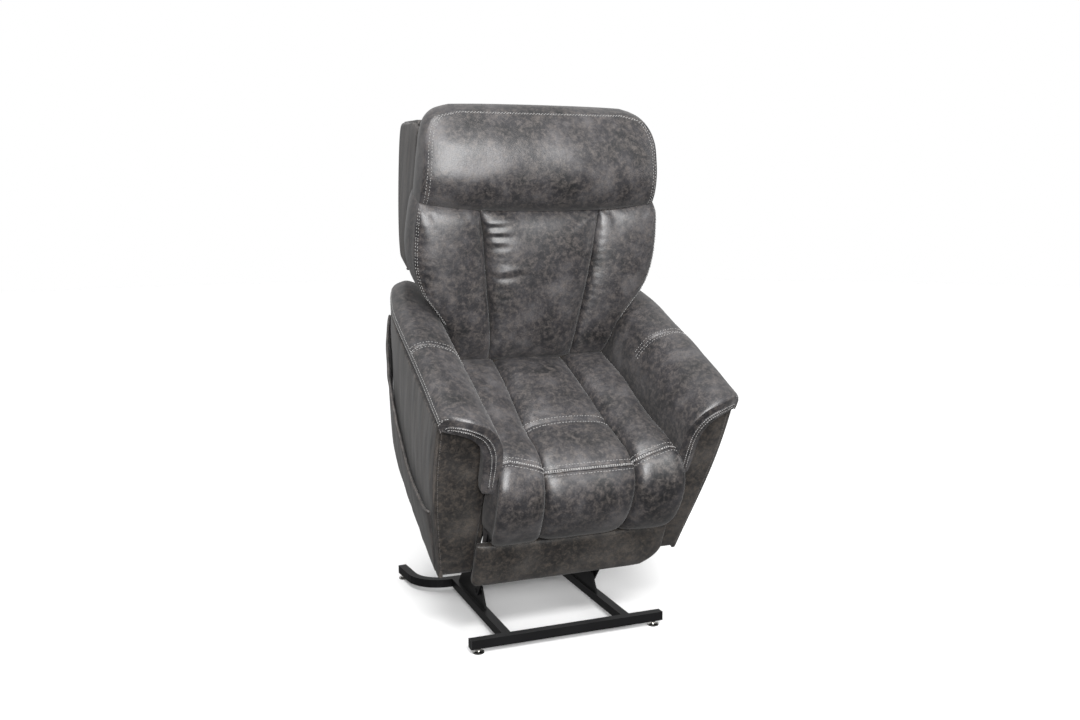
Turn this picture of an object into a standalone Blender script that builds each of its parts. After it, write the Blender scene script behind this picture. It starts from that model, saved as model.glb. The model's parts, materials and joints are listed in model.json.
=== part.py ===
"""Power lift recliner chair, standing in its raised position.

World frame: metres, +Z up, +X the sitter's left, the chair faces -Y, the floor is Z = 0.
Chair frame: x as in the world, r rearward, u upward, leaning forward by TILT when raised.
Sections are written as (r, u) pairs there, and as (y, z) pairs on the steel base.
"""

from math import atan2, cos, degrees, hypot, pi, radians, sin

import bmesh
import bpy
from mathutils import Vector
from mathutils.geometry import tessellate_polygon

# ---- Clearances and stock ------------------------------------------------------------------
GAP = 0.0003            # between pieces that touch
PIN_GAP = 0.0005        # round a pin in its hole
PLATE = 0.006           # thickness of the lift linkage's flat steel
TUBE = 0.025            # square tube
TUBE_WALL = 0.0015
PIN_R = 0.006
SMOOTH = radians(35)

# ---- Sizes that both the steel and the upholstery follow -----------------------------------
SEAT_HALF = 0.250       # between the arms' inner faces, halved
DECK_U = 0.250          # underside of the seat deck

# ---- Steel base (y, z) ---------------------------------------------------------------------
BASE_FRONT = -0.2347    # front face of the front cross tube
BASE_WIDTH = 0.574      # over the front tube's end caps
FOOT_HEIGHT = 0.015
FOOT_R = 0.016
FOOT_INSET = 0.024      # from the end of the front tube to a foot's middle
RAIL_INSET = 0.071      # from an arm's inner face to the middle of a side rail
RAIL_X = SEAT_HALF - RAIL_INSET
BOW_Y = 0.5025          # middle of the rear bow tube, behind BASE_FRONT
BOW_FLAT = 0.2          # half-length of its straight middle
BOW_BEND_R = 0.095
BOW_BEND = radians(85)
BOW_TAIL = 0.088        # straight length behind each bend
CAP_FLANGE = 0.002
CAP_PLUG = 0.010
FRONT_PIVOT = (BASE_FRONT + 0.26, 0.080)
REAR_PIVOT = (BASE_FRONT + 0.40, 0.090)
BRACKET_R = 0.022

# ---- Raised chair --------------------------------------------------------------------------
TILT = radians(25)
CHAIR_ORIGIN = (BASE_FRONT + 0.059, 0.203)   # chair frame's (0, 0) in the world
SEATED_ORIGIN = (BASE_FRONT - 0.080, 0.050)  # the same point once lowered, when the tilt is gone

# ---- Linkage planes, as distances from the middle plane ------------------------------------
BRACKET_X = RAIL_X - 0.007
LINK_X = BRACKET_X + PLATE + 0.004            # front links run outside the brackets
PLATE_X = LINK_X + PLATE + 0.004              # the chair's lift plates run outside those
REAR_LINK_X = BRACKET_X - 0.006 - PLATE       # rear links run inside the brackets
HANGER_X = REAR_LINK_X - 0.006 - PLATE
LINK_R = 0.015

# ---- Pivots in the chair frame (r, u) ------------------------------------------------------
FRONT_LINK_TOP_R = 0.058
REAR_LINK_TOP_R = 0.210
BACK_HINGE = (0.560, 0.220)
FOOTREST_HINGE = (-0.005, 0.385)
LIFT_ROD_DROP = 0.015   # from under the cross member to the lift rod's eye
LIFT_ROD_END = (0.270, DECK_U - TUBE - LIFT_ROD_DROP)
FOOTREST_ROD_END = (-0.012, 0.185)
FOOTREST_MOTOR_END = (0.330, 0.100)
BACK_ROD_END = (0.560, 0.100)
BACK_MOTOR_END = (0.220, 0.170)
LIFT_MOTOR_END = (BASE_FRONT + 0.48, 0.065)   # on the base (y, z)
FOOTREST_OPEN = radians(75)
RECLINE = radians(40)

# ---- Seat and arms -------------------------------------------------------------------------
SIDE_GAP = 0.017        # from an arm's inner face to the seat cushion, room for the hinge plates
DECK_T = 0.015
SEAT_DEPTH = 0.425
SEAT_TOP = 0.405
ARM_OUT = 0.359         # outer face of the arm at its bottom
ARM_FLARE = 0.105       # how far it leans out for each metre up
ARM_TAPER = 0.075       # how far it comes in for each metre back
ARM_TOP = 0.545
ARM_PAD_T = 0.042
ARM_PAD_OVER = 0.002385 # the pad overhangs the arm's outer face
ARM_PAD_HALF = ARM_OUT + ARM_FLARE * (ARM_TOP - ARM_PAD_T) + ARM_PAD_OVER   # at r = 0
ARM_PAD_FRONT = -0.050
ARM_PAD_LIP = 0.035
ARM_REAR = 0.700
PANEL_T = 0.012
SIDE_T = 0.015
FRONT_T = 0.020
POCKET_GAP = 0.013
POCKET_T = 0.004

# ---- Back ----------------------------------------------------------------------------------
BACK_HALF = 0.345
NECK_GAP = 0.010        # between an arm and the back's neck
BACK_NECK = SEAT_HALF - NECK_GAP
LOWER_GAP = 0.007       # between a lift plate and the back's lower end
SHELL_HALF = 0.330
SHELL_T = 0.012
BACK_TOP = 1.072
HEAD_SEAM = 0.846
SHELL_LEAN = radians(25.4)

# ---- Footrest ------------------------------------------------------------------------------
BOARD_HALF = 0.275
BOARD_FRONT = -0.050
BOARD_BACK = -0.022
BOARD_HEIGHT = 0.135
ARM_ROOM = 0.007        # between an arm's inner face and a footrest arm's inner face
PLATE_ROOM = 0.007      # the same between a footrest arm and its hinge plate
PAD_GAP = 0.0015        # between a hinge plate and the pad
PAD_FRONT = -0.118
FOOT_ARM_X = SEAT_HALF - ARM_ROOM
FOOT_ARM_T = 0.004
HINGE_PLATE_X = FOOT_ARM_X - PLATE_ROOM
HINGE_PLATE_T = 0.004
PAD_HALF = HINGE_PLATE_X - PAD_GAP

# ---- Actuators -----------------------------------------------------------------------------
ACT_R = 0.017
ROD_R = 0.008
EYE_R = 0.012
EYE_T = 0.012
MOTOR_R = 0.022
MOTOR_LENGTH = 0.095
MOTOR_OFF = 0.036
ACT_ROOM = 0.058        # from a hanger to the middle of the actuator beside it, motor included
ACT_SIDE = HANGER_X - ACT_ROOM   # footrest actuator at +, back actuator at -
TUBE_START = 0.036      # from an actuator's lower eye, clear of its lug
BORE_START = 0.050
END_ROOM = 0.045        # from the end of its tube to the rod's eye when retracted
LUG_T = 0.004
LUG_GAP = 0.004

SIDES = (("left", 1), ("right", -1))


# ---- Materials -----------------------------------------------------------------------------
def finish(name, colour, roughness, metallic=0.0):
    """A Principled material, made once."""
    found = bpy.data.materials.get(name)
    if found:
        return found
    made = bpy.data.materials.new(name)
    made.use_nodes = True
    shader = made.node_tree.nodes["Principled BSDF"]
    shader.inputs["Base Color"].default_value = (*colour, 1)
    shader.inputs["Roughness"].default_value = roughness
    shader.inputs["Metallic"].default_value = metallic
    made.diffuse_color = (*colour, 1)
    return made


def black_steel():
    return finish("black_steel", (0.012, 0.012, 0.013), 0.4)


def zinc_steel():
    return finish("zinc_steel", (0.55, 0.55, 0.53), 0.35, 1.0)


def nickel():
    return finish("nickel", (0.75, 0.74, 0.71), 0.2, 1.0)


def black_plastic():
    return finish("black_plastic", (0.02, 0.02, 0.021), 0.5)


def upholstery():
    return finish("upholstery", (0.062, 0.062, 0.064), 0.55)


def plywood():
    return finish("plywood", (0.45, 0.32, 0.19), 0.7)


# ---- Mesh helpers --------------------------------------------------------------------------
def build(name, points, faces, material, parent=None, bevel=0.0, segments=2):
    """One closed object, its faces turned outward and its round sides shaded smooth."""
    mesh = bpy.data.meshes.new(name)
    mesh.from_pydata(points, [], faces)
    work = bmesh.new()
    work.from_mesh(mesh)
    bmesh.ops.recalc_face_normals(work, faces=work.faces)
    work.to_mesh(mesh)
    work.free()
    mesh.shade_smooth()
    mesh.set_sharp_from_angle(angle=SMOOTH)
    mesh.materials.append(material)
    made = bpy.data.objects.new(name, mesh)
    bpy.context.collection.objects.link(made)
    made.parent = parent
    if bevel:
        edge = made.modifiers.new("edge", "BEVEL")
        edge.width = bevel
        edge.segments = segments
    return made


def prism(name, outline, low, high, material, parent=None, holes=(), place=None, **options):
    """An outline of (a, b) points, with holes, extruded from low to high; place maps (t, a, b)."""
    place = place or (lambda t, a, b: (t, a, b))
    loops = [list(outline), *map(list, holes)]
    flat = [point for loop in loops for point in loop]
    count = len(flat)
    points = [place(t, a, b) for t in (low, high) for a, b in flat]
    caps = tessellate_polygon([[Vector((a, b, 0)) for a, b in loop] for loop in loops])
    faces = [tuple(cap) for cap in caps] + [tuple(i + count for i in cap) for cap in caps]
    start = 0
    for loop in loops:
        for i in range(len(loop)):
            a, b = start + i, start + (i + 1) % len(loop)
            faces.append((a, b, b + count, a + count))
        start += len(loop)
    return build(name, points, faces, material, parent, **options)


def loft(name, rings, material, parent=None, **options):
    """Rings with equally many points, joined in order and closed at both ends."""
    count = len(rings[0])
    points = [point for ring in rings for point in ring]
    faces = [tuple(range(count)), tuple(range((len(rings) - 1) * count, len(rings) * count))]
    for level in range(len(rings) - 1):
        for i in range(count):
            a, b = level * count + i, level * count + (i + 1) % count
            faces.append((a, b, b + count, a + count))
    return build(name, points, faces, material, parent, **options)


def boxes_up(name, levels, material, parent, origin, **options):
    """A symmetric soft block: levels of (u, half-width, front r, rear r)."""
    rings = []
    for u, half, front, rear in levels:
        corners = ((-half, front), (half, front), (half, rear), (-half, rear))
        rings.append([(x, r - origin[0], u - origin[1]) for x, r in corners])
    return loft(name, rings, material, parent, **options)


def arc(middle, radius, start, end, steps):
    """Points round middle from the start angle to the end angle, in degrees."""
    angles = [radians(start + (end - start) * i / steps) for i in range(steps + 1)]
    return [(middle[0] + radius * cos(a), middle[1] + radius * sin(a)) for a in angles]


def circle(middle, radius, steps=16):
    return arc(middle, radius, 0, 360, steps)[:-1]


def bar(start, end, radius, steps=8):
    """The outline of a flat bar with round ends about two points."""
    turn = degrees(atan2(end[1] - start[1], end[0] - start[0]))
    return arc(start, radius, turn + 90, turn + 270, steps) + arc(end, radius, turn - 90, turn + 90, steps)


def rectangle(a0, a1, b0, b1):
    return [(a0, b0), (a1, b0), (a1, b1), (a0, b1)]


def square_ring(middle, half):
    return rectangle(middle[0] - half, middle[0] + half, middle[1] - half, middle[1] + half)


def shift(points, origin):
    return [(a - origin[0], b - origin[1]) for a, b in points]


def pin(name, at, radius, low, high, material, parent=None, steps=16):
    """A round pin along X about the point at."""
    return prism(name, circle(at, radius, steps), low, high, material, parent)


def merge(target, other, operation="UNION"):
    """Welds the helper other onto target, or cuts it away, and hides it."""
    other.hide_render = True
    other.display_type = "WIRE"
    step = target.modifiers.new(other.name, "BOOLEAN")
    step.operation = operation
    step.object = other
    return target


def pivot(name, parent, at, turn=0.0):
    """An empty on a joint's axis, which runs along X."""
    made = bpy.data.objects.new(name, None)
    made.empty_display_size = 0.05
    bpy.context.collection.objects.link(made)
    made.parent = parent
    made.location = (0, *at)
    made.rotation_euler.x = turn
    return made


def chair_to_world(point):
    r, u = point
    return (
        CHAIR_ORIGIN[0] + r * cos(TILT) - u * sin(TILT),
        CHAIR_ORIGIN[1] + r * sin(TILT) + u * cos(TILT),
    )


def arm_face(u):
    """Outer face of an arm at height u: it flares outward as it rises."""
    return ARM_OUT + ARM_FLARE * u


# ---- Base ----------------------------------------------------------------------------------
def square_tube_x(name, half_length, middle, parent=None):
    inner = TUBE / 2 - TUBE_WALL
    return prism(name, square_ring(middle, TUBE / 2), -half_length, half_length, black_steel(),
                 parent, holes=[square_ring(middle, inner)])


def end_cap(name, at, turn, height):
    """A flanged plug for a square tube whose end faces local +X at the point at."""
    inner = TUBE / 2 - TUBE_WALL - GAP
    sections = ((-CAP_PLUG, inner), (GAP, inner), (GAP, TUBE / 2), (GAP + CAP_FLANGE, TUBE / 2))
    rings = [[(x, a, b) for a, b in square_ring((0, 0), half)] for x, half in sections]
    made = loft(name, rings, black_plastic())
    made.location = (*at, height)
    made.rotation_euler.z = turn
    return made


def levelling_foot(name, at, top):
    """A disc on a short threaded stud."""
    profile = ((0, FOOT_R - 0.001), (0.001, FOOT_R), (0.004, FOOT_R), (0.006, 0.009),
               (0.006, 0.005), (top - GAP, 0.005))
    rings = [[(a, b, z) for a, b in circle(at, radius, 20)] for z, radius in profile]
    return loft(name, rings, nickel())


def bow_path():
    """Half of the rear bow tube's middle line, from its straight middle to its end, with headings."""
    y = BASE_FRONT + BOW_Y
    path = [(0.0, y, 0.0), (BOW_FLAT, y, 0.0)]
    steps = 8
    for i in range(1, steps + 1):
        turn = BOW_BEND * i / steps
        path.append((BOW_FLAT + BOW_BEND_R * sin(turn), y + BOW_BEND_R * (1 - cos(turn)), turn))
    x, y, turn = path[-1]
    path.append((x + BOW_TAIL * cos(turn), y + BOW_TAIL * sin(turn), turn))
    return path


def bow_tube(height):
    half = bow_path()
    whole = [(-x, y, -turn) for x, y, turn in half[:0:-1]] + half[1:]
    outer, inner = TUBE / 2, TUBE / 2 - TUBE_WALL
    points = []
    for x, y, turn in whole:
        for size in (outer, inner):
            for across, up in square_ring((0, 0), size):
                points.append((x - across * sin(turn), y + across * cos(turn), height + up))
    faces = []
    for level in range(len(whole) - 1):
        for ring in (0, 4):
            for i in range(4):
                a, b = level * 8 + ring + i, level * 8 + ring + (i + 1) % 4
                faces.append((a, b, b + 8, a + 8))
    for level in (0, len(whole) - 1):
        for i in range(4):
            a, b = level * 8 + i, level * 8 + (i + 1) % 4
            faces.append((a, b, b + 4, a + 4))
    return build("rear_bow_tube", points, faces, black_steel())


def pivot_bracket(side_name, side, rail_top):
    """A standing plate on a rail, with a welded stud for the front link and one for the rear link."""
    outline = [(FRONT_PIVOT[0] - 0.050, rail_top + GAP), (REAR_PIVOT[0] + 0.065, rail_top + GAP)]
    outline += arc(REAR_PIVOT, BRACKET_R, 0, 95, 6)
    outline += arc(FRONT_PIVOT, BRACKET_R, 85, 165, 6)
    inner, outer = side * BRACKET_X, side * (BRACKET_X + PLATE)
    plate = prism(f"pivot_bracket_{side_name}", outline, inner, outer, black_steel())
    front = pin(f"front_stud_{side_name}", FRONT_PIVOT, PIN_R, side * (BRACKET_X + 0.002),
                side * (PLATE_X - 0.001), black_steel())
    rear = pin(f"rear_stud_{side_name}", REAR_PIVOT, PIN_R, side * (BRACKET_X + PLATE - 0.002),
               side * (REAR_LINK_X - 0.003), black_steel())
    return merge(merge(plate, front), rear)


def foot_clevis(rail_top):
    """The lug on the rear bow tube that holds the lift actuator's lower eye."""
    low = EYE_T / 2 + LUG_GAP
    bow = BASE_FRONT + BOW_Y
    outline = [(bow - 0.011, rail_top + GAP), (bow + 0.011, rail_top + GAP)]
    outline += arc(LIFT_MOTOR_END, 0.014, 30, 215, 8)
    lug = prism("actuator_foot_clevis", outline, low, low + LUG_T + 0.002, black_steel())
    stud = pin("foot_clevis_stud", LIFT_MOTOR_END, PIN_R, -EYE_T / 2 - 0.003, low + 0.004, black_steel())
    return merge(lug, stud)


def base():
    middle = FOOT_HEIGHT + TUBE / 2
    rail_top = FOOT_HEIGHT + TUBE
    tube_half = BASE_WIDTH / 2 - CAP_FLANGE - GAP
    front_y = BASE_FRONT + TUBE / 2
    square_tube_x("front_cross_tube", tube_half, (front_y, middle))
    bow_tube(middle)
    tail_x, tail_y, tail_turn = bow_path()[-1]
    rail_start = BASE_FRONT + TUBE + GAP
    rail_end = BASE_FRONT + BOW_Y - TUBE / 2 - GAP
    inner = TUBE / 2 - TUBE_WALL
    foot_x = BASE_WIDTH / 2 - FOOT_INSET
    rear_foot = (tail_x - 0.014 * cos(tail_turn), tail_y - 0.014 * sin(tail_turn))
    for side_name, side in SIDES:
        rail = (side * RAIL_X, middle)
        prism(f"side_rail_{side_name}", square_ring(rail, TUBE / 2), rail_start, rail_end, black_steel(),
              holes=[square_ring(rail, inner)], place=lambda t, a, b: (a, t, b))
        facing = 0 if side > 0 else pi
        end_cap(f"front_end_cap_{side_name}", (side * tube_half, front_y), facing, middle)
        rear_facing = tail_turn if side > 0 else pi - tail_turn
        end_cap(f"rear_end_cap_{side_name}", (side * tail_x, tail_y), rear_facing, middle)
        levelling_foot(f"front_foot_{side_name}", (side * foot_x, front_y), FOOT_HEIGHT)
        levelling_foot(f"rear_foot_{side_name}", (side * rear_foot[0], rear_foot[1]), FOOT_HEIGHT)
        pivot_bracket(side_name, side, rail_top)
    foot_clevis(rail_top)


# ---- Where the linkages go -----------------------------------------------------------------
def link_top(base_pivot, r):
    """The point of the chair, r behind its front, that is as far from base_pivot raised as seated."""
    seated = (SEATED_ORIGIN[0] - base_pivot[0], SEATED_ORIGIN[1] - base_pivot[1])
    raised = (CHAIR_ORIGIN[0] - base_pivot[0], CHAIR_ORIGIN[1] - base_pivot[1])
    back = (raised[0] * cos(TILT) + raised[1] * sin(TILT), raised[1] * cos(TILT) - raised[0] * sin(TILT))
    half = (hypot(*raised) ** 2 - hypot(*seated) ** 2) / 2
    return r, (half - r * (seated[0] - back[0])) / (seated[1] - back[1])


def turned_back(point, centre, angle):
    """A point turned about centre the way the back reclines and the footrest opens."""
    r, u = point[0] - centre[0], point[1] - centre[1]
    return centre[0] + r * cos(angle) + u * sin(angle), centre[1] + u * cos(angle) - r * sin(angle)


def distance(a, b):
    return hypot(a[0] - b[0], a[1] - b[1])


def lift_travel():
    seated = (SEATED_ORIGIN[0] + LIFT_ROD_END[0], SEATED_ORIGIN[1] + LIFT_ROD_END[1])
    return distance(seated, LIFT_MOTOR_END) - distance(chair_to_world(LIFT_ROD_END), LIFT_MOTOR_END)


def turn_travel(motor_end, rod_end, hinge, angle):
    return distance(turned_back(rod_end, hinge, angle), motor_end) - distance(rod_end, motor_end)


# ---- Lift linkage --------------------------------------------------------------------------
def lift_links(parent):
    """Front links with welded upper studs, and the torque tube that keeps them level."""
    top = chair_to_world(link_top(FRONT_PIVOT, FRONT_LINK_TOP_R))
    reach = (top[0] - FRONT_PIVOT[0], top[1] - FRONT_PIVOT[1])
    tube_at = (0.6 * reach[0], 0.6 * reach[1])
    for side_name, side in SIDES:
        hole = circle((0, 0), PIN_R + PIN_GAP)
        link = prism(f"front_lift_link_{side_name}", bar((0, 0), reach, LINK_R), side * LINK_X,
                     side * (LINK_X + PLATE), black_steel(), parent, holes=[hole])
        stud = pin(f"front_link_stud_{side_name}", reach, PIN_R, side * (LINK_X + 0.002),
                   side * (PLATE_X + PLATE + 0.003), black_steel(), parent)
        merge(link, stud)
    ring = circle(tube_at, 0.014 - 0.002)
    prism("torque_tube", circle(tube_at, 0.014), GAP - LINK_X, LINK_X - GAP, black_steel(), parent,
          holes=[ring])


def rear_links(parent):
    """Rear links; each upper eye stays beside its hanger, with no pin in it."""
    top = chair_to_world(link_top(REAR_PIVOT, REAR_LINK_TOP_R))
    reach = (top[0] - REAR_PIVOT[0], top[1] - REAR_PIVOT[1])
    for side_name, side in SIDES:
        holes = [circle((0, 0), PIN_R + PIN_GAP), circle(reach, PIN_R + PIN_GAP)]
        prism(f"rear_lift_link_{side_name}", bar((0, 0), reach, LINK_R), side * REAR_LINK_X,
              side * (REAR_LINK_X + PLATE), black_steel(), parent, holes=holes)


# ---- Actuators -----------------------------------------------------------------------------
def actuator(kind, parent, start, end, x, motor_side, travel):
    """A motor and tube pivoting at start, and a rod that slides in it towards end.

    start and end are in the parent's frame. Local +Y runs along the rod, and the rod moves by
    travel along it from here to its other limit.
    """
    length = hypot(end[0] - start[0], end[1] - start[1])
    turn = atan2(end[1] - start[1], end[0] - start[0])
    frame = pivot(f"{kind}_actuator_pivot", parent, start, turn)
    tube_end = length + min(travel, 0) - END_ROOM
    shaft_start = BORE_START + 0.010 + max(-travel, 0)
    low, high = x - EYE_T / 2, x + EYE_T / 2
    eye = prism(f"{kind}_actuator_body", bar((0, 0), (0.034, 0), EYE_R), low, high, zinc_steel(), frame,
                holes=[circle((0, 0), PIN_R + PIN_GAP)])
    bore = ROD_R + PIN_GAP
    profile = ((TUBE_START, 0.004), (TUBE_START, ACT_R), (tube_end, ACT_R), (tube_end, bore),
               (BORE_START, bore), (BORE_START, 0.002))
    rings = [[(x + a, y, b) for a, b in circle((0, 0), radius)] for y, radius in profile]
    tube = loft(f"{kind}_actuator_tube", rings, black_plastic(), frame)
    around = circle((x, motor_side * MOTOR_OFF), MOTOR_R, 20)
    motor = prism(f"{kind}_actuator_motor", around, 0.032, 0.032 + MOTOR_LENGTH, black_plastic(), frame,
                  place=lambda t, a, b: (a, t, b))
    across = 0.016
    box = prism(f"{kind}_actuator_gearbox", rectangle(0.028, BORE_START - 0.002, 0, motor_side * MOTOR_OFF),
                x - across, x + across, black_plastic(), frame)
    for piece in (tube, motor, box):
        merge(eye, piece)
    rod_eye = prism(f"{kind}_actuator_rod", bar((length, 0), (length - 0.020, 0), EYE_R), low, high,
                    zinc_steel(), frame, holes=[circle((length, 0), PIN_R + PIN_GAP)])
    shaft_rings = [[(x + a, y, b) for a, b in circle((0, 0), ROD_R)] for y in (shaft_start, length - 0.022)]
    merge(rod_eye, loft(f"{kind}_rod_shaft", shaft_rings, zinc_steel(), frame))
    return eye


# ---- Chair frame ---------------------------------------------------------------------------
def side_plates(parent, home):
    """Long steel plates: front link pivot, cross members and back hinge studs."""
    top = DECK_U - GAP
    outline = [(0.0, top), (0.0, home[1] - 0.010)]
    outline += arc(home, 0.018, 230, 330, 6)
    outline += [(0.130, 0.150), (BACK_HINGE[0], BACK_HINGE[1] - 0.020)]
    outline += arc(BACK_HINGE, 0.020, -60, 80, 8)
    outline.append((BACK_HINGE[0] - 0.050, top))
    hole = circle((0, 0), PIN_R + PIN_GAP)
    for side_name, side in SIDES:
        plate = prism(f"lift_side_plate_{side_name}", shift(outline, home), side * PLATE_X,
                      side * (PLATE_X + PLATE), black_steel(), parent, holes=[hole])
        stud = pin(f"back_hinge_stud_{side_name}", shift([BACK_HINGE], home)[0], PIN_R,
                   side * (PLATE_X + 0.002), side * (PLATE_X + PLATE + 0.012), black_steel(), parent)
        merge(plate, stud)


def rear_link_hangers(parent, home):
    """Plates that reach down from the actuator's cross member to the rear links' open upper pivot."""
    link_end = link_top(REAR_PIVOT, REAR_LINK_TOP_R)
    outline = bar(link_end, (LIFT_ROD_END[0], DECK_U - TUBE - GAP - 0.014), 0.013)
    hole = shift(circle(link_end, PIN_R + PIN_GAP), home)
    for side_name, side in SIDES:
        prism(f"rear_link_hanger_{side_name}", shift(outline, home), side * HANGER_X,
              side * (HANGER_X + PLATE), black_steel(), parent, holes=[hole])


def lug(name, start, end, x, side, pinned, parent, home):
    """A lug beside an actuator's eye; a pinned one carries the stud that the eye turns on."""
    low = x + side * (EYE_T / 2 + LUG_GAP)
    high = low + side * LUG_T
    made = prism(name, shift(bar(start, end, EYE_R), home), low, high, black_steel(), parent)
    if pinned:
        stud = pin(f"{name}_stud", shift([end], home)[0], PIN_R, x - side * (EYE_T / 2 + 0.003),
                   low + side * 0.002, black_steel(), parent)
        merge(made, stud)
    return made


def cross_members(parent, home):
    reach = PLATE_X - GAP
    square_tube_x("front_cross_member", reach, shift([(0.0225, 0.1125)], home)[0], parent)
    middle = (LIFT_ROD_END[0], DECK_U - GAP - TUBE / 2)
    member = square_tube_x("actuator_cross_member", reach, shift([middle], home)[0], parent)
    merge(member, lug("lift_rod_lug", (middle[0], middle[1] - 0.004), LIFT_ROD_END, 0, 1, False,
                      parent, home))
    merge(member, lug("footrest_motor_lug", middle, FOOTREST_MOTOR_END, ACT_SIDE, 1, True, parent, home))
    merge(member, lug("back_motor_lug", middle, BACK_MOTOR_END, -ACT_SIDE, -1, True, parent, home))


def seat(parent, home):
    deck = shift(rectangle(0.045, 0.500, DECK_U, DECK_U + DECK_T), home)
    half = SEAT_HALF - SIDE_GAP
    prism("seat_deck", deck, -half, half, plywood(), parent)
    bottom = DECK_U + DECK_T + GAP
    outline = [(0.0, bottom), (0.0, SEAT_TOP - 0.03), (0.02, SEAT_TOP), (0.14, SEAT_TOP - 0.010),
               (0.30, SEAT_TOP), (SEAT_DEPTH, SEAT_TOP + 0.010), (SEAT_DEPTH, bottom)]
    prism("seat_cushion", shift(outline, home), -half, half, upholstery(), parent, bevel=0.006)


def footrest_hinge_plates(parent, home):
    outline = arc(FOOTREST_HINGE, 0.013, 40, 200, 8)
    outline += [(FOOTREST_HINGE[0] - 0.008, 0.330), (0.006, 0.200), (0.090, 0.200), (0.090, 0.270)]
    stud_at = shift([FOOTREST_HINGE], home)[0]
    for side_name, side in SIDES:
        plate = prism(f"footrest_hinge_plate_{side_name}", shift(outline, home), side * HINGE_PLATE_X,
                      side * (HINGE_PLATE_X + HINGE_PLATE_T), black_steel(), parent)
        stud = pin(f"footrest_stud_{side_name}", stud_at, PIN_R, side * (HINGE_PLATE_X + 0.001),
                   side * (FOOT_ARM_X + FOOT_ARM_T + 0.0015), black_steel(), parent)
        merge(plate, stud)


def side_profile():
    """An arm side's outline: flat underneath, sweeping up to a nearly straight rear edge."""
    bottom = [(FRONT_T + GAP, 0.0), (0.450, 0.0)]
    sweep = [(0.530, 0.014), (0.590, 0.042), (0.635, 0.080), (0.662, 0.130), (0.672, 0.200)]
    rear = [(0.680, 0.320), (0.692, 0.430), (0.697, ARM_TOP - ARM_PAD_T - GAP)]
    return bottom + sweep + rear + [(FRONT_T + GAP, ARM_TOP - ARM_PAD_T - GAP)]


def pocket_edge():
    """The pocket's mouth, from the front to the rear: low in front and curving up behind."""
    return [(0.045, 0.225), (0.180, 0.222), (0.330, 0.245), (0.470, 0.300), (0.600, 0.370)]


def flared_place(side, home):
    """Puts a prism along x onto an arm's outer side, which leans out and comes in towards the rear."""
    return lambda t, a, b: (side * (t + ARM_FLARE * (b + home[1]) - ARM_TAPER * (a + home[0])), a, b)


def tapered_place(side, home):
    """The same for a pad: only its outer end comes in towards the rear."""
    return lambda t, a, b: (side * (t - (ARM_TAPER * (a + home[0]) if t > ARM_OUT else 0)), a, b)


def arms(parent, home):
    pad_bottom = ARM_TOP - ARM_PAD_T
    inner = SEAT_HALF + PANEL_T
    inner_outline = rectangle(0.003, 0.640, 0.060, pad_bottom - GAP)
    lip_back = -0.006
    pad_outline = [(ARM_PAD_FRONT, ARM_TOP - 0.012), (ARM_PAD_FRONT, pad_bottom - ARM_PAD_LIP),
                   (lip_back, pad_bottom - ARM_PAD_LIP), (lip_back, pad_bottom),
                   (ARM_REAR, pad_bottom), (ARM_REAR, pad_bottom + 0.012), (0.500, ARM_TOP),
                   (-0.038, ARM_TOP)]
    for side_name, side in SIDES:
        flared = flared_place(side, home)
        prism(f"arm_inner_panel_{side_name}", shift(inner_outline, home), side * SEAT_HALF,
              side * inner, plywood(), parent)
        prism(f"arm_side_panel_{side_name}", shift(side_profile(), home), ARM_OUT - SIDE_T, ARM_OUT,
              upholstery(), parent, place=flared)
        rings = []
        for u in (0.0, pad_bottom - GAP):
            back_corner = arm_face(u) - ARM_TAPER * FRONT_T
            corners = ((inner + GAP, 0), (arm_face(u), 0), (back_corner, FRONT_T), (inner + GAP, FRONT_T))
            rings.append([(side * x, r - home[0], u - home[1]) for x, r in corners])
        loft(f"arm_front_panel_{side_name}", rings, upholstery(), parent)
        prism(f"arm_pad_{side_name}", shift(pad_outline, home), SEAT_HALF + 0.002, ARM_PAD_HALF,
              upholstery(), parent, bevel=0.005, place=tapered_place(side, home))
    side_pocket(parent, home)


def side_pocket(parent, home):
    """An open-topped pocket on the right arm's outer side."""
    flared = flared_place(-1, home)
    face = ARM_OUT + GAP
    thick = POCKET_GAP + POCKET_T
    outline = [(0.600, 0.100), (0.560, 0.055), (0.480, 0.030), (0.045, 0.030)] + pocket_edge()
    inside = [(0.592, 0.104), (0.555, 0.063), (0.478, 0.038), (0.053, 0.038), (0.053, 0.500),
              (0.592, 0.500)]
    pocket = prism("side_pocket", shift(outline, home), face, face + thick, upholstery(), parent,
                   place=flared)
    cutter = prism("pocket_inside", shift(inside, home), face - 0.005, face + POCKET_GAP, upholstery(),
                   parent, place=flared)
    merge(pocket, cutter, "DIFFERENCE")


def electrics(parent, home):
    """The control box under the seat, and the inlet for its low-voltage lead."""
    top = DECK_U - GAP
    box = rectangle(0.360, 0.470, top - 0.045, top)
    prism("control_box", shift(box, home), -0.060, 0.030, black_plastic(), parent, bevel=0.003)
    rings = []
    for r, radius in ((0.470 + GAP, 0.010), (0.486, 0.010), (0.486, 0.006), (0.474, 0.006)):
        rings.append([(a, r - home[0], b - home[1]) for a, b in circle((-0.015, top - 0.022), radius)])
    loft("power_inlet", rings, black_plastic(), parent)


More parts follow.
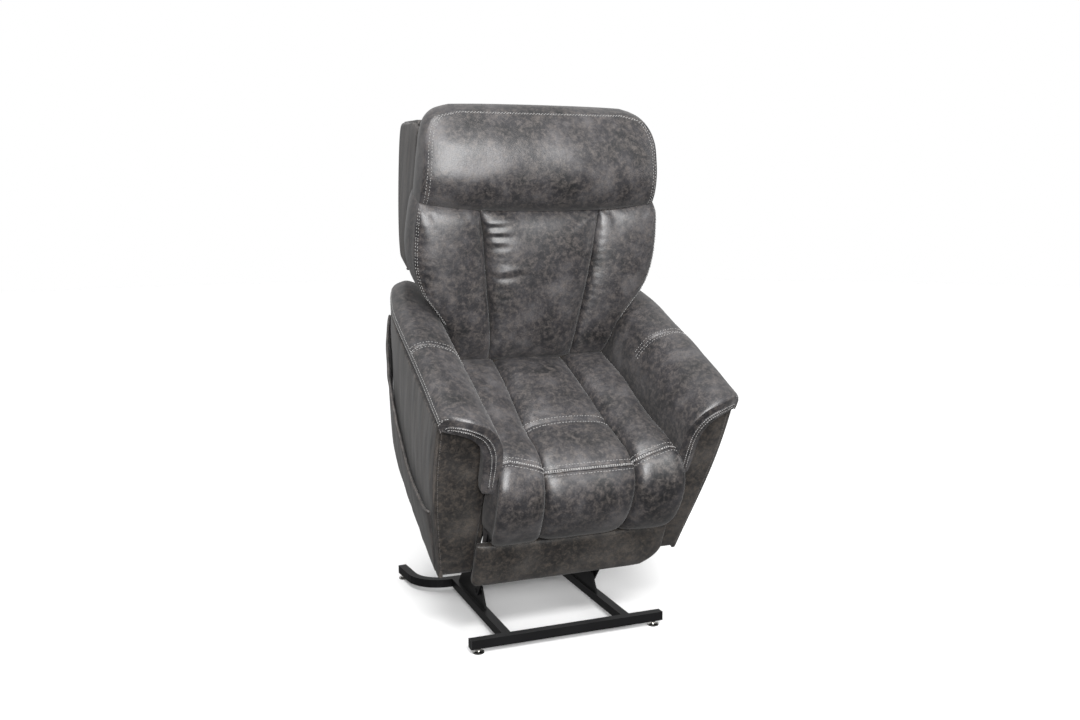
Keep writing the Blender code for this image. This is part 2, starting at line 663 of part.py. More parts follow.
# ---- Back ----------------------------------------------------------------------------------
def back(parent):
    """The reclining back: frame, outer shell, cushions and hinge brackets."""
    home = BACK_HINGE
    lean = (sin(SHELL_LEAN), cos(SHELL_LEAN))

    def leaning(s, t):
        """A point s up the shell's lean and t behind its plane, from the hinge."""
        return (s * lean[0] + t * lean[1], s * lean[1] - t * lean[0])

    bracket_x = PLATE_X + PLATE + 0.004
    frame_outline = [leaning(0.050, -0.048), leaning(0.050, -0.028), leaning(0.700, -0.028),
                     leaning(0.700, -0.048)]
    frame = prism("back_frame", frame_outline, GAP - bracket_x, bracket_x - GAP, plywood(), parent)
    rod_end = (BACK_ROD_END[0] - home[0], BACK_ROD_END[1] - home[1])
    lever = lug("back_rod_lug", leaning(0.070, -0.038), rod_end, -ACT_SIDE, -1, False, parent, (0, 0))
    merge(frame, lever)
    shell = [leaning(0.372, 0.003), leaning(0.372, 0.015), leaning(0.790, 0.015),
             leaning(0.800, 0.008), (0.758 - home[0], 0.990 - home[1]), (0.755 - home[0], 0.976 - home[1]),
             leaning(0.785, 0.003)]
    prism("back_outer_panel", shell, -SHELL_HALF + SHELL_T + GAP, SHELL_HALF - SHELL_T - GAP,
          upholstery(), parent)
    wing = shift([(0.635, 0.600), (0.680, 0.572), (0.752, 0.572), (0.795, 0.610), (0.827, 0.668),
                  (0.862, 0.760), (0.893, 0.880), (0.893, 0.930), (0.758, 0.989), (0.702, 0.985),
                  (0.693, 0.940), (0.662, 0.820), (0.648, 0.700)], home)
    bracket = arc((0, 0), 0.018, 180, 340, 8) + [leaning(0.300, -0.022), leaning(0.300, -0.046)]
    for side_name, side in SIDES:
        prism(f"back_wing_{side_name}", wing, side * (SHELL_HALF - SHELL_T), side * SHELL_HALF,
              upholstery(), parent)
        prism(f"back_hinge_bracket_{side_name}", bracket, side * bracket_x, side * (bracket_x + 0.005),
              black_steel(), parent, holes=[circle((0, 0), PIN_R + PIN_GAP)])
    seam = HEAD_SEAM
    low = PLATE_X - LOWER_GAP
    levels = [(0.300, low, 0.470, 0.535), (0.340, low, 0.448, 0.555), (0.420, low + 0.002, 0.438, 0.592),
              (0.440, BACK_NECK, 0.440, 0.600), (0.540, BACK_NECK, 0.452, 0.640),
              (0.600, 0.300, 0.462, 0.620), (0.660, BACK_HALF - 0.012, 0.474, 0.628),
              (0.760, BACK_HALF, 0.496, 0.640), (seam - GAP, BACK_HALF - 0.003, 0.530, 0.655)]
    boxes_up("back_cushion", levels, upholstery(), parent, home, bevel=0.004)
    levels = [(seam, BACK_HALF - 0.003, 0.530, 0.652), (0.900, BACK_HALF, 0.536, 0.668),
              (0.990, BACK_HALF - 0.008, 0.572, 0.688), (1.045, BACK_HALF - 0.035, 0.614, 0.700),
              (BACK_TOP, BACK_HALF - 0.075, 0.646, 0.692)]
    boxes_up("headrest", levels, upholstery(), parent, home, bevel=0.004)


# ---- Footrest ------------------------------------------------------------------------------
def footrest(parent):
    home = FOOTREST_HINGE
    board = shift(rectangle(BOARD_FRONT, BOARD_BACK, -0.003, BOARD_HEIGHT), home)
    prism("footrest_board", board, -BOARD_HALF, BOARD_HALF, upholstery(), parent, bevel=0.004)
    top = FOOTREST_HINGE[1] - 0.016
    levels = [(BOARD_HEIGHT + GAP, PAD_HALF - 0.004, -0.062, -0.022), (0.170, PAD_HALF, -0.084, -0.020),
              (0.240, PAD_HALF, PAD_FRONT, -0.018), (0.300, PAD_HALF, PAD_FRONT + 0.002, -0.014),
              (0.345, PAD_HALF, -0.100, -0.012), (top, PAD_HALF - 0.004, -0.080, -0.010)]
    pad = boxes_up("footrest_pad", levels, upholstery(), parent, home, bevel=0.003)
    slot = rectangle(-0.044, 0.010, BOARD_HEIGHT - 0.020, FOOTREST_ROD_END[1] + 0.062)
    rod_slot = prism("rod_slot", shift(slot, home),
                     ACT_SIDE - 0.018, ACT_SIDE + 0.022, upholstery(), parent)
    merge(pad, rod_slot, "DIFFERENCE")
    arm_front = BOARD_BACK + GAP - home[0]
    outline = [(0.006, -0.370), (arm_front, -0.370), (arm_front, -0.060)] + arc((0, 0), 0.013, 160, 10, 8)
    hole = circle((0, 0), PIN_R + PIN_GAP)
    for side_name, side in SIDES:
        prism(f"footrest_arm_{side_name}", outline, side * FOOT_ARM_X, side * (FOOT_ARM_X + FOOT_ARM_T),
              black_steel(), parent, holes=[hole])
    bar_at = shift([(-0.012, 0.060)], home)[0]
    crossbar = prism("footrest_crossbar", circle(bar_at, 0.008), GAP - FOOT_ARM_X, FOOT_ARM_X - GAP,
                     black_steel(), parent)
    low = ACT_SIDE + EYE_T / 2 + 0.002
    end = shift([FOOTREST_ROD_END], home)[0]
    arm_lug = prism("footrest_rod_lug", bar(bar_at, end, 0.008), low, low + LUG_T, black_steel(), parent)
    merge(crossbar, arm_lug)


# ---- Assembly ------------------------------------------------------------------------------
def chair():
    for old in list(bpy.data.objects):
        bpy.data.objects.remove(old, do_unlink=True)
    base()
    lift_pivot = pivot("lift_pivot", None, FRONT_PIVOT)
    lift_links(lift_pivot)
    rear_links(pivot("rear_link_pivot", None, REAR_PIVOT))
    rod_end = chair_to_world(LIFT_ROD_END)
    actuator("lift", None, LIFT_MOTOR_END, rod_end, 0.0, -1, lift_travel())
    home = link_top(FRONT_PIVOT, FRONT_LINK_TOP_R)
    top = chair_to_world(home)
    chair_pivot = pivot("chair_pivot", lift_pivot, (top[0] - FRONT_PIVOT[0], top[1] - FRONT_PIVOT[1]), TILT)
    side_plates(chair_pivot, home)
    rear_link_hangers(chair_pivot, home)
    cross_members(chair_pivot, home)
    footrest_hinge_plates(chair_pivot, home)
    seat(chair_pivot, home)
    arms(chair_pivot, home)
    electrics(chair_pivot, home)
    back(pivot("back_pivot", chair_pivot, shift([BACK_HINGE], home)[0]))
    footrest(pivot("footrest_pivot", chair_pivot, shift([FOOTREST_HINGE], home)[0]))
    ends = shift([FOOTREST_MOTOR_END, FOOTREST_ROD_END, BACK_MOTOR_END, BACK_ROD_END], home)
    travel = turn_travel(FOOTREST_MOTOR_END, FOOTREST_ROD_END, FOOTREST_HINGE, FOOTREST_OPEN)
    actuator("footrest", chair_pivot, ends[0], ends[1], ACT_SIDE, 1, travel)
    travel = turn_travel(BACK_MOTOR_END, BACK_ROD_END, BACK_HINGE, RECLINE)
    actuator("back", chair_pivot, ends[2], ends[3], -ACT_SIDE, -1, travel)


chair()
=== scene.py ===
"""Power lift recliner, raised: upholstery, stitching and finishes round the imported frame."""

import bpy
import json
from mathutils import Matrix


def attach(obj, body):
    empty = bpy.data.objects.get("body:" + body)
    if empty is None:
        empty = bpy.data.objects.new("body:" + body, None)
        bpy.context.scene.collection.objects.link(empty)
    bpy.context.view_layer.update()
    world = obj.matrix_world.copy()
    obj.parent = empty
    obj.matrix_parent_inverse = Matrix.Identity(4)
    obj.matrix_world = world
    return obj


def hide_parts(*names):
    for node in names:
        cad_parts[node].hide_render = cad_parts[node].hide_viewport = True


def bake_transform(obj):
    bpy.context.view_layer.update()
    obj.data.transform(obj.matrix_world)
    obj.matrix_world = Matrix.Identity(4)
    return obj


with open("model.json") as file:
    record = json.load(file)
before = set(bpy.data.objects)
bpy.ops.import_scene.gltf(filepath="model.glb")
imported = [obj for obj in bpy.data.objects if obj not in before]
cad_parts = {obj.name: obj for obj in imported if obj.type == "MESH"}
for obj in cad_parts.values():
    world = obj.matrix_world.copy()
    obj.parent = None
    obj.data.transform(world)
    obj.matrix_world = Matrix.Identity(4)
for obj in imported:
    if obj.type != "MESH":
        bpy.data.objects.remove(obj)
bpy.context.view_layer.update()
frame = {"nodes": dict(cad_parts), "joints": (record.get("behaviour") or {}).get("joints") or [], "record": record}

import json
from math import atan2, cos, exp, pi, radians, sin

import bmesh
import bpy
from mathutils import Matrix, Vector, noise
from mathutils.bvhtree import BVHTree

SIDES = (("left", 1), ("right", -1))

# ---- Chair frame: x as in the world, r rearward, u upward, leaning with the raised chair ----
HINGE_AT = {"footrest": (-0.005, 0.385), "recline": (0.560, 0.220)}
JOINT = {j["name"]: Vector(j["pos_m"]) for j in frame["joints"] if j["name"] in HINGE_AT}
span = JOINT["recline"] - JOINT["footrest"]
rise = [b - a for a, b in zip(HINGE_AT["footrest"], HINGE_AT["recline"])]
TILT = atan2(span.z, span.y) - atan2(rise[1], rise[0])
TILT_C, TILT_S = cos(TILT), sin(TILT)
FOOT_R, FOOT_U = HINGE_AT["footrest"]
ORIGIN_Y = JOINT["footrest"].y - (FOOT_R * TILT_C - FOOT_U * TILT_S)
ORIGIN_Z = JOINT["footrest"].z - (FOOT_R * TILT_S + FOOT_U * TILT_C)


def at(x, r, u):
    """A point of the chair frame in the world."""
    return Vector((x, ORIGIN_Y + r * TILT_C - u * TILT_S, ORIGIN_Z + r * TILT_S + u * TILT_C))


# ---- Materials ----
MIX_INPUTS, MIX_COLOUR = (0, 6, 7), 2  # a colour mix's factor, first and second colour, and result


def material(name, colour, roughness, metallic=0.0):
    made = bpy.data.materials.new(name)
    made.use_nodes = True
    shader = made.node_tree.nodes["Principled BSDF"]
    shader.inputs["Base Color"].default_value = (*colour, 1)
    shader.inputs["Roughness"].default_value = roughness
    shader.inputs["Metallic"].default_value = metallic
    return made, made.node_tree, shader


def add(tree, kind, **values):
    """A new node; each value goes to the input of that name, or else to the setting."""
    node = tree.nodes.new(kind)
    for key, value in values.items():
        if key in node.inputs:
            node.inputs[key].default_value = value
        else:
            setattr(node, key, value)
    return node


def ramp(tree, source, stops):
    """The colour at source's value, between stops of (position, colour)."""
    node = tree.nodes.new("ShaderNodeValToRGB")
    elements = node.color_ramp.elements
    while len(elements) < len(stops):
        elements.new(0.5)
    for element, (position, colour) in zip(elements, stops):
        element.position = position
        element.color = (*colour, 1)
    tree.links.new(source, node.inputs["Fac"])
    return node.outputs["Color"]


def mix(tree, blend, factor, a, b):
    node = tree.nodes.new("ShaderNodeMix")
    node.data_type = "RGBA"
    node.blend_type = blend
    for socket, value in zip(MIX_INPUTS, (factor, a, b)):
        if isinstance(value, (int, float, tuple)):
            node.inputs[socket].default_value = value
        else:
            tree.links.new(value, node.inputs[socket])
    return node.outputs[MIX_COLOUR]


def noise_value(tree, place, **settings):
    node = add(tree, "ShaderNodeTexNoise", **settings)
    tree.links.new(place, node.inputs["Vector"])
    return node.outputs["Fac"]


def glossed(tree, shader, source, low, high):
    """Lets the roughness follow source between low and high."""
    gloss = add(tree, "ShaderNodeMapRange")
    gloss.inputs["To Min"].default_value, gloss.inputs["To Max"].default_value = low, high
    tree.links.new(source, gloss.inputs["Value"])
    tree.links.new(gloss.outputs["Result"], shader.inputs["Roughness"])


def relief(tree, height, strength, distance, under=None):
    """The normal of a surface with height as its relief, over the normal under it."""
    bump = add(tree, "ShaderNodeBump", Strength=strength, Distance=distance)
    tree.links.new(height, bump.inputs["Height"])
    if under is not None:
        tree.links.new(under, bump.inputs["Normal"])
    return bump.outputs["Normal"]


CLOUD_STOPS = (0.36, 0.52, 0.68)  # where the clouds are dark, middling and light
RUB_WARMTH = (1.32, 1.20, 1.06)  # how much redder and lighter the rubbed spots are


def leather(name, dark, mid, light, streaks=False, roughness=(0.33, 0.52)):
    """Distressed faux leather: clouded colour, warm rubbed mottling, pebbled grain."""
    made, tree, shader = material(name, mid, 0.5)
    link = tree.links.new
    place = drawn = add(tree, "ShaderNodeTexCoord").outputs["Object"]
    if streaks:
        turn = add(tree, "ShaderNodeMapping", Rotation=(-TILT, 0, 0))
        link(place, turn.inputs["Vector"])
        squeeze = add(tree, "ShaderNodeMapping", Scale=(1.0, 1.6, 0.14))
        link(turn.outputs["Vector"], squeeze.inputs["Vector"])
        drawn = squeeze.outputs["Vector"]
    cloud = noise_value(tree, drawn, Scale=22.0 if streaks else 9.0, Detail=5.0, Roughness=0.62)
    colour = ramp(tree, cloud, tuple(zip(CLOUD_STOPS, (dark, mid, light))))
    rub = noise_value(tree, drawn, Scale=64.0, Detail=9.0, Roughness=0.78, Distortion=0.35)
    warm = tuple(c * k for c, k in zip(light, RUB_WARMTH))
    rubbed = ramp(tree, rub, ((0.46, (0, 0, 0)), (0.64, (0.72, 0.72, 0.72))))
    colour = mix(tree, "MIX", rubbed, colour, (*warm, 1))
    speck = noise_value(tree, place, Scale=300.0, Detail=4.0, Roughness=0.75)
    shade = ramp(tree, speck, ((0.34, (0.55, 0.55, 0.55)), (0.66, (1.32, 1.30, 1.28))))
    link(mix(tree, "MULTIPLY", 0.85, colour, shade), shader.inputs["Base Color"])
    glossed(tree, shader, rub, *roughness)
    pebble = add(tree, "ShaderNodeTexVoronoi", Scale=520.0)
    pebble.feature = "SMOOTH_F1"
    link(place, pebble.inputs["Vector"])
    grain = relief(tree, pebble.outputs["Distance"], 0.22, 0.0006)
    crease = noise_value(tree, drawn, Scale=70.0, Detail=4.0, Roughness=0.6)
    link(relief(tree, crease, 0.28, 0.002, grain), shader.inputs["Normal"])
    shader.inputs["Specular IOR Level"].default_value = 0.64
    shader.inputs["Sheen Weight"].default_value = 0.10
    shader.inputs["Sheen Roughness"].default_value = 0.45
    return made


def metal(name, colour, roughness, metallic, scale, bump, wear=0.25):
    """Painted or plated steel, moulded plastic, thread or cloth, with a fine uneven surface."""
    made, tree, shader = material(name, colour, roughness, metallic)
    link = tree.links.new
    place = add(tree, "ShaderNodeTexCoord").outputs["Object"]
    patch = noise_value(tree, place, Scale=14.0, Detail=5.0)
    low = tuple(c * (1 - wear) for c in colour)
    high = tuple(min(c * (1 + wear), 1) for c in colour)
    link(ramp(tree, patch, ((0.3, low), (0.7, high))), shader.inputs["Base Color"])
    fine = noise_value(tree, place, Scale=scale, Detail=2.0)
    glossed(tree, shader, fine, roughness * 0.8, min(roughness * 1.25, 1))
    link(relief(tree, fine, bump, 0.0005), shader.inputs["Normal"])
    return made


def wood(name):
    """Bare plywood with its grain along x."""
    made, tree, shader = material(name, (0.45, 0.31, 0.18), 0.6)
    link = tree.links.new
    place = add(tree, "ShaderNodeTexCoord").outputs["Object"]
    stretch = add(tree, "ShaderNodeMapping", Scale=(1.0, 12.0, 12.0))
    link(place, stretch.inputs["Vector"])
    grain = noise_value(tree, stretch.outputs["Vector"], Scale=6.0, Detail=8.0, Roughness=0.65,
                        Distortion=0.6)
    tone = ramp(tree, grain, ((0.3, (0.36, 0.23, 0.12)), (0.7, (0.56, 0.41, 0.25))))
    link(tone, shader.inputs["Base Color"])
    link(relief(tree, grain, 0.2, 0.0004), shader.inputs["Normal"])
    return made


HIDE = leather("hide", (0.006, 0.006, 0.007), (0.021, 0.020, 0.0225), (0.069, 0.066, 0.069))
HIDE_LOW = leather("hide_lower", (0.011, 0.010, 0.010), (0.028, 0.026, 0.025), (0.066, 0.060, 0.056))
HIDE_SIDE = leather("hide_side", (0.010, 0.010, 0.010), (0.028, 0.026, 0.026), (0.074, 0.069, 0.067),
                    streaks=True, roughness=(0.5, 0.68))
THREAD = metal("thread", (0.27, 0.265, 0.26), 0.7, 0.0, 900.0, 0.4, wear=0.12)
THREAD_DARK = metal("thread_dark", (0.13, 0.12, 0.115), 0.75, 0.0, 900.0, 0.4, wear=0.12)
BLACK = metal("powder_coat", (0.004, 0.004, 0.0045), 0.42, 0.0, 500.0, 0.25)
BLACK.node_tree.nodes["Principled BSDF"].inputs["Specular IOR Level"].default_value = 0.32
ZINC = metal("zinc_plate", (0.55, 0.55, 0.56), 0.34, 0.9, 260.0, 0.12, wear=0.12)
NICKEL = metal("nickel_plate", (0.72, 0.71, 0.68), 0.16, 1.0, 200.0, 0.05, wear=0.08)
PLASTIC = metal("moulded_plastic", (0.018, 0.018, 0.019), 0.48, 0.0, 700.0, 0.3)
PLY = wood("plywood")

SLOT_LOOK = {"steel": BLACK, "zinc": ZINC, "nickel": NICKEL, "plastic": PLASTIC, "plywood": PLY,
             "upholstery": HIDE_LOW, "cushion": HIDE}
for part in frame["record"]["subparts"]:
    node = frame["nodes"][part["node"]]
    look = SLOT_LOOK[part["material_slot"]]
    if not node.data.materials:
        node.data.materials.append(look)
    for index in range(len(node.material_slots)):
        node.material_slots[index].link = "OBJECT"
        node.material_slots[index].material = look


# ---- Meshes ----
def mesh_object(name, points, faces, look, level=1):
    mesh = bpy.data.meshes.new(name)
    mesh.from_pydata([tuple(p) for p in points], [], faces)
    made = bpy.data.objects.new(name, mesh)
    bpy.context.scene.collection.objects.link(made)
    mesh.materials.append(look)
    solid = bmesh.new()
    solid.from_mesh(mesh)
    bmesh.ops.recalc_face_normals(solid, faces=solid.faces)
    solid.to_mesh(mesh)
    solid.free()
    for face in mesh.polygons:
        face.use_smooth = True
    if level:
        finer = made.modifiers.new("finer", "SUBSURF")
        finer.levels = finer.render_levels = level
    return made


def belongs(piece, body, slot, *nodes, fill=None):
    """Puts a piece on its body, in place of nodes, which it hides; slot and fill are not used."""
    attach(piece, body)
    if nodes:
        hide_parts(*nodes)
    return piece


def through(knots, t):
    """A smooth curve through knots, whose whole-number values of t are the knots themselves."""
    last = len(knots) - 1
    t = min(max(t, 0.0), float(last))
    i = min(int(t), last - 1)
    f = t - i
    a, b, c, d = (knots[min(max(k, 0), last)] for k in (i - 1, i, i + 1, i + 2))

    def ease(p, q, v, w):
        return 0.5 * (2 * q + (v - p) * f + (2 * p - 5 * q + 4 * v - w) * f * f
                      + (3 * q - p - 3 * v + w) * f ** 3)

    if isinstance(b, (int, float)):
        return ease(a, b, c, d)
    return tuple(ease(*four) for four in zip(a, b, c, d))


def lerp(a, b, f):
    """The number or point f of the way from a to b."""
    if isinstance(a, (int, float)):
        return a + (b - a) * f
    return tuple(p + (q - p) * f for p, q in zip(a, b))


def grown(value, start, length):
    """0 up to start, 1 from start + length on, rising evenly between them."""
    return max(0.0, min(1.0, (value - start) / length))


def bell(distance, width):
    """1 at no distance, fading to nothing within about twice the width."""
    return exp(-(distance / width) ** 2)


def spread(low, high, count):
    """count even values from low to high."""
    return [low + (high - low) * k / (count - 1) for k in range(count)]


def eased(low, high, count):
    """count values from low to high, closer together towards both ends."""
    middle, half = (low + high) / 2, (high - low) / 2
    return [middle + half * sin(pi / 2 * v) for v in spread(-1, 1, count)]


def crowded(values, centres, offsets):
    """values with extra ones close to each centre, sorted, none nearly alike."""
    extra = [c + o for c in centres for o in offsets] + list(centres)
    inside = [v for v in extra if values[0] <= v <= values[-1]]
    kept = []
    for v in sorted(values + inside):
        if not kept or v - kept[-1] > 1e-4:
            kept.append(v)
    return kept


def slab(name, outer, inner, ss, ts, look, rings=3, bulge=0.004):
    """A closed pad: an outer and an inner grid of chair points joined by a rounded border."""
    front = [[Vector(outer(s, t)) for s in ss] for t in ts]
    rear = [[Vector(inner(s, t)) for s in ss] for t in ts]
    rows, columns = len(ts), len(ss)
    points = [p for row in front for p in row] + [p for row in rear for p in row]
    base = rows * columns
    faces = []
    for i in range(rows - 1):
        for j in range(columns - 1):
            a = i * columns + j
            quad = (a, a + 1, a + columns + 1, a + columns)
            faces.append(quad)
            faces.append(tuple(base + k for k in reversed(quad)))
    border = [(0, j) for j in range(columns - 1)]
    border += [(i, columns - 1) for i in range(rows - 1)]
    border += [(rows - 1, j) for j in range(columns - 1, 0, -1)]
    border += [(i, 0) for i in range(rows - 1, 0, -1)]
    count = len(border)
    loops = [[i * columns + j for i, j in border]]
    for k in range(1, rings + 1):
        f = k / (rings + 1)
        loop = []
        for i, j in border:
            p, q = front[i][j], rear[i][j]
            inner_i = min(max(i, 1), rows - 2)
            inner_j = min(max(j, 1), columns - 2)
            out = (p - front[inner_i][inner_j]) + (q - rear[inner_i][inner_j])
            axis = q - p
            if axis.length > 1e-9:
                out -= axis * (out.dot(axis) / axis.length_squared)
            if out.length > 1e-9:
                out.normalize()
            loop.append(len(points))
            points.append(p.lerp(q, f) + out * (bulge * sin(pi * f)))
        loops.append(loop)
    loops.append([base + i * columns + j for i, j in border])
    for low, high in zip(loops, loops[1:]):
        for k in range(count):
            m = (k + 1) % count
            faces.append((low[k], low[m], high[m], high[k]))
    return mesh_object(name, [at(*p) for p in points], faces, look)


def surface_of(piece):
    """A piece's finished surface, for finding the nearest point on it."""
    bpy.context.view_layer.update()
    shown = piece.evaluated_get(bpy.context.evaluated_depsgraph_get())
    return BVHTree.FromPolygons([v.co.copy() for v in shown.data.vertices],
                                [tuple(f.vertices) for f in shown.data.polygons])


def evenly(points, step):
    """Points every step along a polyline."""
    out, carry = [points[0].copy()], 0.0
    for a, b in zip(points, points[1:]):
        length = (b - a).length
        while carry + length >= step:
            f = (step - carry) / length
            a = a.lerp(b, f)
            length = (b - a).length
            carry = 0.0
            out.append(a.copy())
        carry += length
    return out


PATH_STEP = 0.003


def laid(tree, points):
    """A path pressed onto a surface: (point, normal, direction) every PATH_STEP."""
    found = []
    for p in evenly(points, PATH_STEP):
        spot, normal, _, _ = tree.find_nearest(p)
        found.append((spot, normal))
    path = []
    for k, (spot, normal) in enumerate(found):
        before = found[max(k - 1, 0)][0]
        after = found[min(k + 1, len(found) - 1)][0]
        direction = after - before
        if direction.length > 1e-9:
            path.append((spot, normal, direction.normalized()))
    return path


BEAD_SIDES = 5
BEAD_PROFILE = ((-0.5, 0.35, -0.4), (-0.32, 0.95, 0.35), (0.0, 1.1, 0.6), (0.32, 0.95, 0.35),
                (0.5, 0.35, -0.4))  # along in lengths; width and height in radii


def stitches(name, paths, look, length=0.005, gap=0.0034, radius=0.00078):
    """Separate thread stitches along paths, each a slim bead sunk at both ends."""
    points, faces = [], []
    pitch = length + gap
    last_ring = BEAD_SIDES * (len(BEAD_PROFILE) - 1)
    for path in paths:
        walked, due = 0.0, 0.0
        for (spot, normal, along), (following, _, _) in zip(path, path[1:]):
            walked += (following - spot).length
            if walked < due:
                continue
            due += pitch
            across = normal.cross(along)
            start = len(points)
            for place, wide, high in BEAD_PROFILE:
                centre = spot + along * (place * length) + normal * (high * radius)
                for k in range(BEAD_SIDES):
                    turn = 2 * pi * k / BEAD_SIDES
                    points.append(centre + across * (cos(turn) * wide * radius)
                                  + normal * (sin(turn) * wide * radius))
            for ring in range(start, start + last_ring, BEAD_SIDES):
                for k in range(BEAD_SIDES):
                    m = (k + 1) % BEAD_SIDES
                    faces.append((ring + k, ring + m, ring + BEAD_SIDES + m, ring + BEAD_SIDES + k))
            faces.append(tuple(start + k for k in range(BEAD_SIDES)))
            faces.append(tuple(start + last_ring + k for k in reversed(range(BEAD_SIDES))))
    return mesh_object(name, points, faces, look, 0)


CORD_SIDES = 8


def cords(name, paths, look, radius, sink):
    """Piping and seam ridges: round tubes partly sunk in the surface under them."""
    points, faces = [], []
    for path in paths:
        start = len(points)
        for spot, normal, direction in path:
            across = normal.cross(direction).normalized()
            middle = spot + normal * (radius * (1 - 2 * sink))
            for k in range(CORD_SIDES):
                turn = 2 * pi * k / CORD_SIDES
                points.append(middle + across * (cos(turn) * radius) + normal * (sin(turn) * radius))
        end = start + (len(path) - 1) * CORD_SIDES
        for ring in range(start, end, CORD_SIDES):
            for k in range(CORD_SIDES):
                m = (k + 1) % CORD_SIDES
                faces.append((ring + k, ring + m, ring + CORD_SIDES + m, ring + CORD_SIDES + k))
        faces.append(tuple(start + k for k in range(CORD_SIDES)))
        faces.append(tuple(end + k for k in reversed(range(CORD_SIDES))))
    return mesh_object(name, points, faces, look, 0)


def raised(beads, tree, height):
    """Lifts stitches off the surface under them, onto the top of a ridge."""
    for vertex in beads.data.vertices:
        _, normal, _, _ = tree.find_nearest(vertex.co)
        vertex.co += normal * height


def lumps(p, scale, size, seed=0.0):
    """A smooth random height at a chair point."""
    return size * noise.noise(Vector(p) * scale + Vector((seed, seed * 1.7, -seed)))


def puff(angle, flat, full):
    """(across from -1 to 1, height from 0 to 1) on a padded channel's rounded section."""
    c, s = cos(angle), sin(angle)
    across = -(abs(c) ** flat) * (1 if c > 0 else -1)
    return across, max(s, 0.0) ** full


CLOTH_FRAMES = 20
CLOTH_PRESSURE = 4.0
CLOTH_STRETCH, CLOTH_SHEAR, CLOTH_BEND = 12.0, 6.0, 0.4
CLOTH_REACH = 0.012  # the furthest that any point of a cover may move


def inflate(piece, held):
    """Lets a cover fill out as cloth under pressure; held gives how firmly each point stays."""
    scene = bpy.context.scene
    group = piece.vertex_groups.new(name="held")
    for vertex in piece.data.vertices:
        group.add([vertex.index], held(vertex.index), "REPLACE")
    finer = list(piece.modifiers)
    for modifier in finer:
        modifier.show_viewport = False
    cloth = piece.modifiers.new("cloth", "CLOTH")
    settings = cloth.settings
    settings.quality = 4
    settings.mass = 0.3
    settings.tension_stiffness = settings.compression_stiffness = CLOTH_STRETCH
    settings.shear_stiffness = CLOTH_SHEAR
    settings.bending_stiffness = CLOTH_BEND
    settings.use_pressure = True
    settings.uniform_pressure_force = CLOTH_PRESSURE
    settings.vertex_group_mass = "held"
    settings.pin_stiffness = 1.0
    settings.effector_weights.gravity = 0.0
    cloth.collision_settings.use_collision = False
    cloth.point_cache.frame_start, cloth.point_cache.frame_end = 1, CLOTH_FRAMES
    for moment in range(1, CLOTH_FRAMES + 1):
        scene.frame_set(moment)
    shown = piece.evaluated_get(bpy.context.evaluated_depsgraph_get())
    settled = [v.co.copy() for v in shown.data.vertices]
    piece.modifiers.remove(cloth)
    piece.vertex_groups.remove(group)
    for vertex, place in zip(piece.data.vertices, settled):
        move = place - vertex.co
        if move.length > CLOTH_REACH:
            move *= CLOTH_REACH / move.length
        vertex.co += move
    for modifier in finer:
        modifier.show_viewport = True
    scene.frame_set(1)


HOLD_NEAR_SEAM = (1.0, 0.9, 0.35)  # on a seam, one row off it and two rows off it
HOLD_LOOSE = 0.02


def cover_hold(rows, columns, seams):
    """Holds a slab's lining, border, seam columns and end rows fast, and the rest loosely."""
    def held(index):
        if index >= rows * columns:
            return 1.0
        i, j = divmod(index, columns)
        near = min([abs(j - k) for k in seams] + [i, rows - 1 - i])
        return HOLD_NEAR_SEAM[near] if near < len(HOLD_NEAR_SEAM) else HOLD_LOOSE
    return held


# ---- Seat: three channels from the crease over the front seam and down to the foot board ----
SEAT_CROWN_SIDE = ((0.520, 0.330), (0.500, 0.374), (0.450, 0.402), (0.300, 0.409), (0.140, 0.405),
                   (0.050, 0.412), (0.006, 0.414), (-0.030, 0.408), (-0.062, 0.394), (-0.093, 0.358),
                   (-0.108, 0.308), (-0.110, 0.250), (-0.097, 0.198), (-0.072, 0.160), (-0.034, 0.143))
SEAT_CROWN_MIDDLE = ((0.520, 0.330), (0.500, 0.370), (0.450, 0.397), (0.300, 0.401), (0.140, 0.393),
                     (0.050, 0.393), (0.000, 0.389), (-0.046, 0.370), (-0.072, 0.352), (-0.094, 0.318),
                     (-0.103, 0.275), (-0.101, 0.230), (-0.089, 0.188), (-0.066, 0.158), (-0.032, 0.143))
SEAT_VALLEY = ((0.520, 0.325), (0.498, 0.350), (0.450, 0.370), (0.300, 0.374), (0.140, 0.374),
               (0.050, 0.376), (0.004, 0.372), (-0.038, 0.355), (-0.056, 0.338), (-0.068, 0.308),
               (-0.075, 0.272), (-0.075, 0.232), (-0.064, 0.194), (-0.047, 0.166), (-0.026, 0.150))
SEAT_EDGE = ((0.520, 0.325), (0.498, 0.352), (0.450, 0.378), (0.300, 0.386), (0.140, 0.386),
             (0.050, 0.390), (0.006, 0.390), (-0.026, 0.380), (-0.048, 0.362), (-0.066, 0.335),
             (-0.076, 0.295), (-0.077, 0.245), (-0.066, 0.200), (-0.046, 0.168), (-0.024, 0.150))
SEAT_VALLEY_X = (0.104, 0.105, 0.108, 0.114, 0.121, 0.124, 0.126, 0.128, 0.129, 0.128,
                 0.127, 0.125, 0.121, 0.117, 0.114)
SEAT_EDGE_X = (0.230, 0.234, 0.240, 0.246, 0.247, 0.247, 0.248, 0.253, 0.263, 0.268,
               0.270, 0.269, 0.265, 0.255, 0.240)
SEAT_INNER = ((0.515, 0.300), (0.495, 0.318), (0.450, 0.335), (0.300, 0.335), (0.140, 0.335),
              (0.060, 0.338), (0.020, 0.345), (-0.005, 0.345), (-0.018, 0.335), (-0.022, 0.305),
              (-0.022, 0.270), (-0.022, 0.235), (-0.022, 0.200), (-0.0215, 0.160), (-0.0205, 0.124))
SEAT_SEAM = 7.0  # the knots where the front seam and the cross seam run
CROSS_SEAM = 4.0
CHANNEL_STEPS = 23
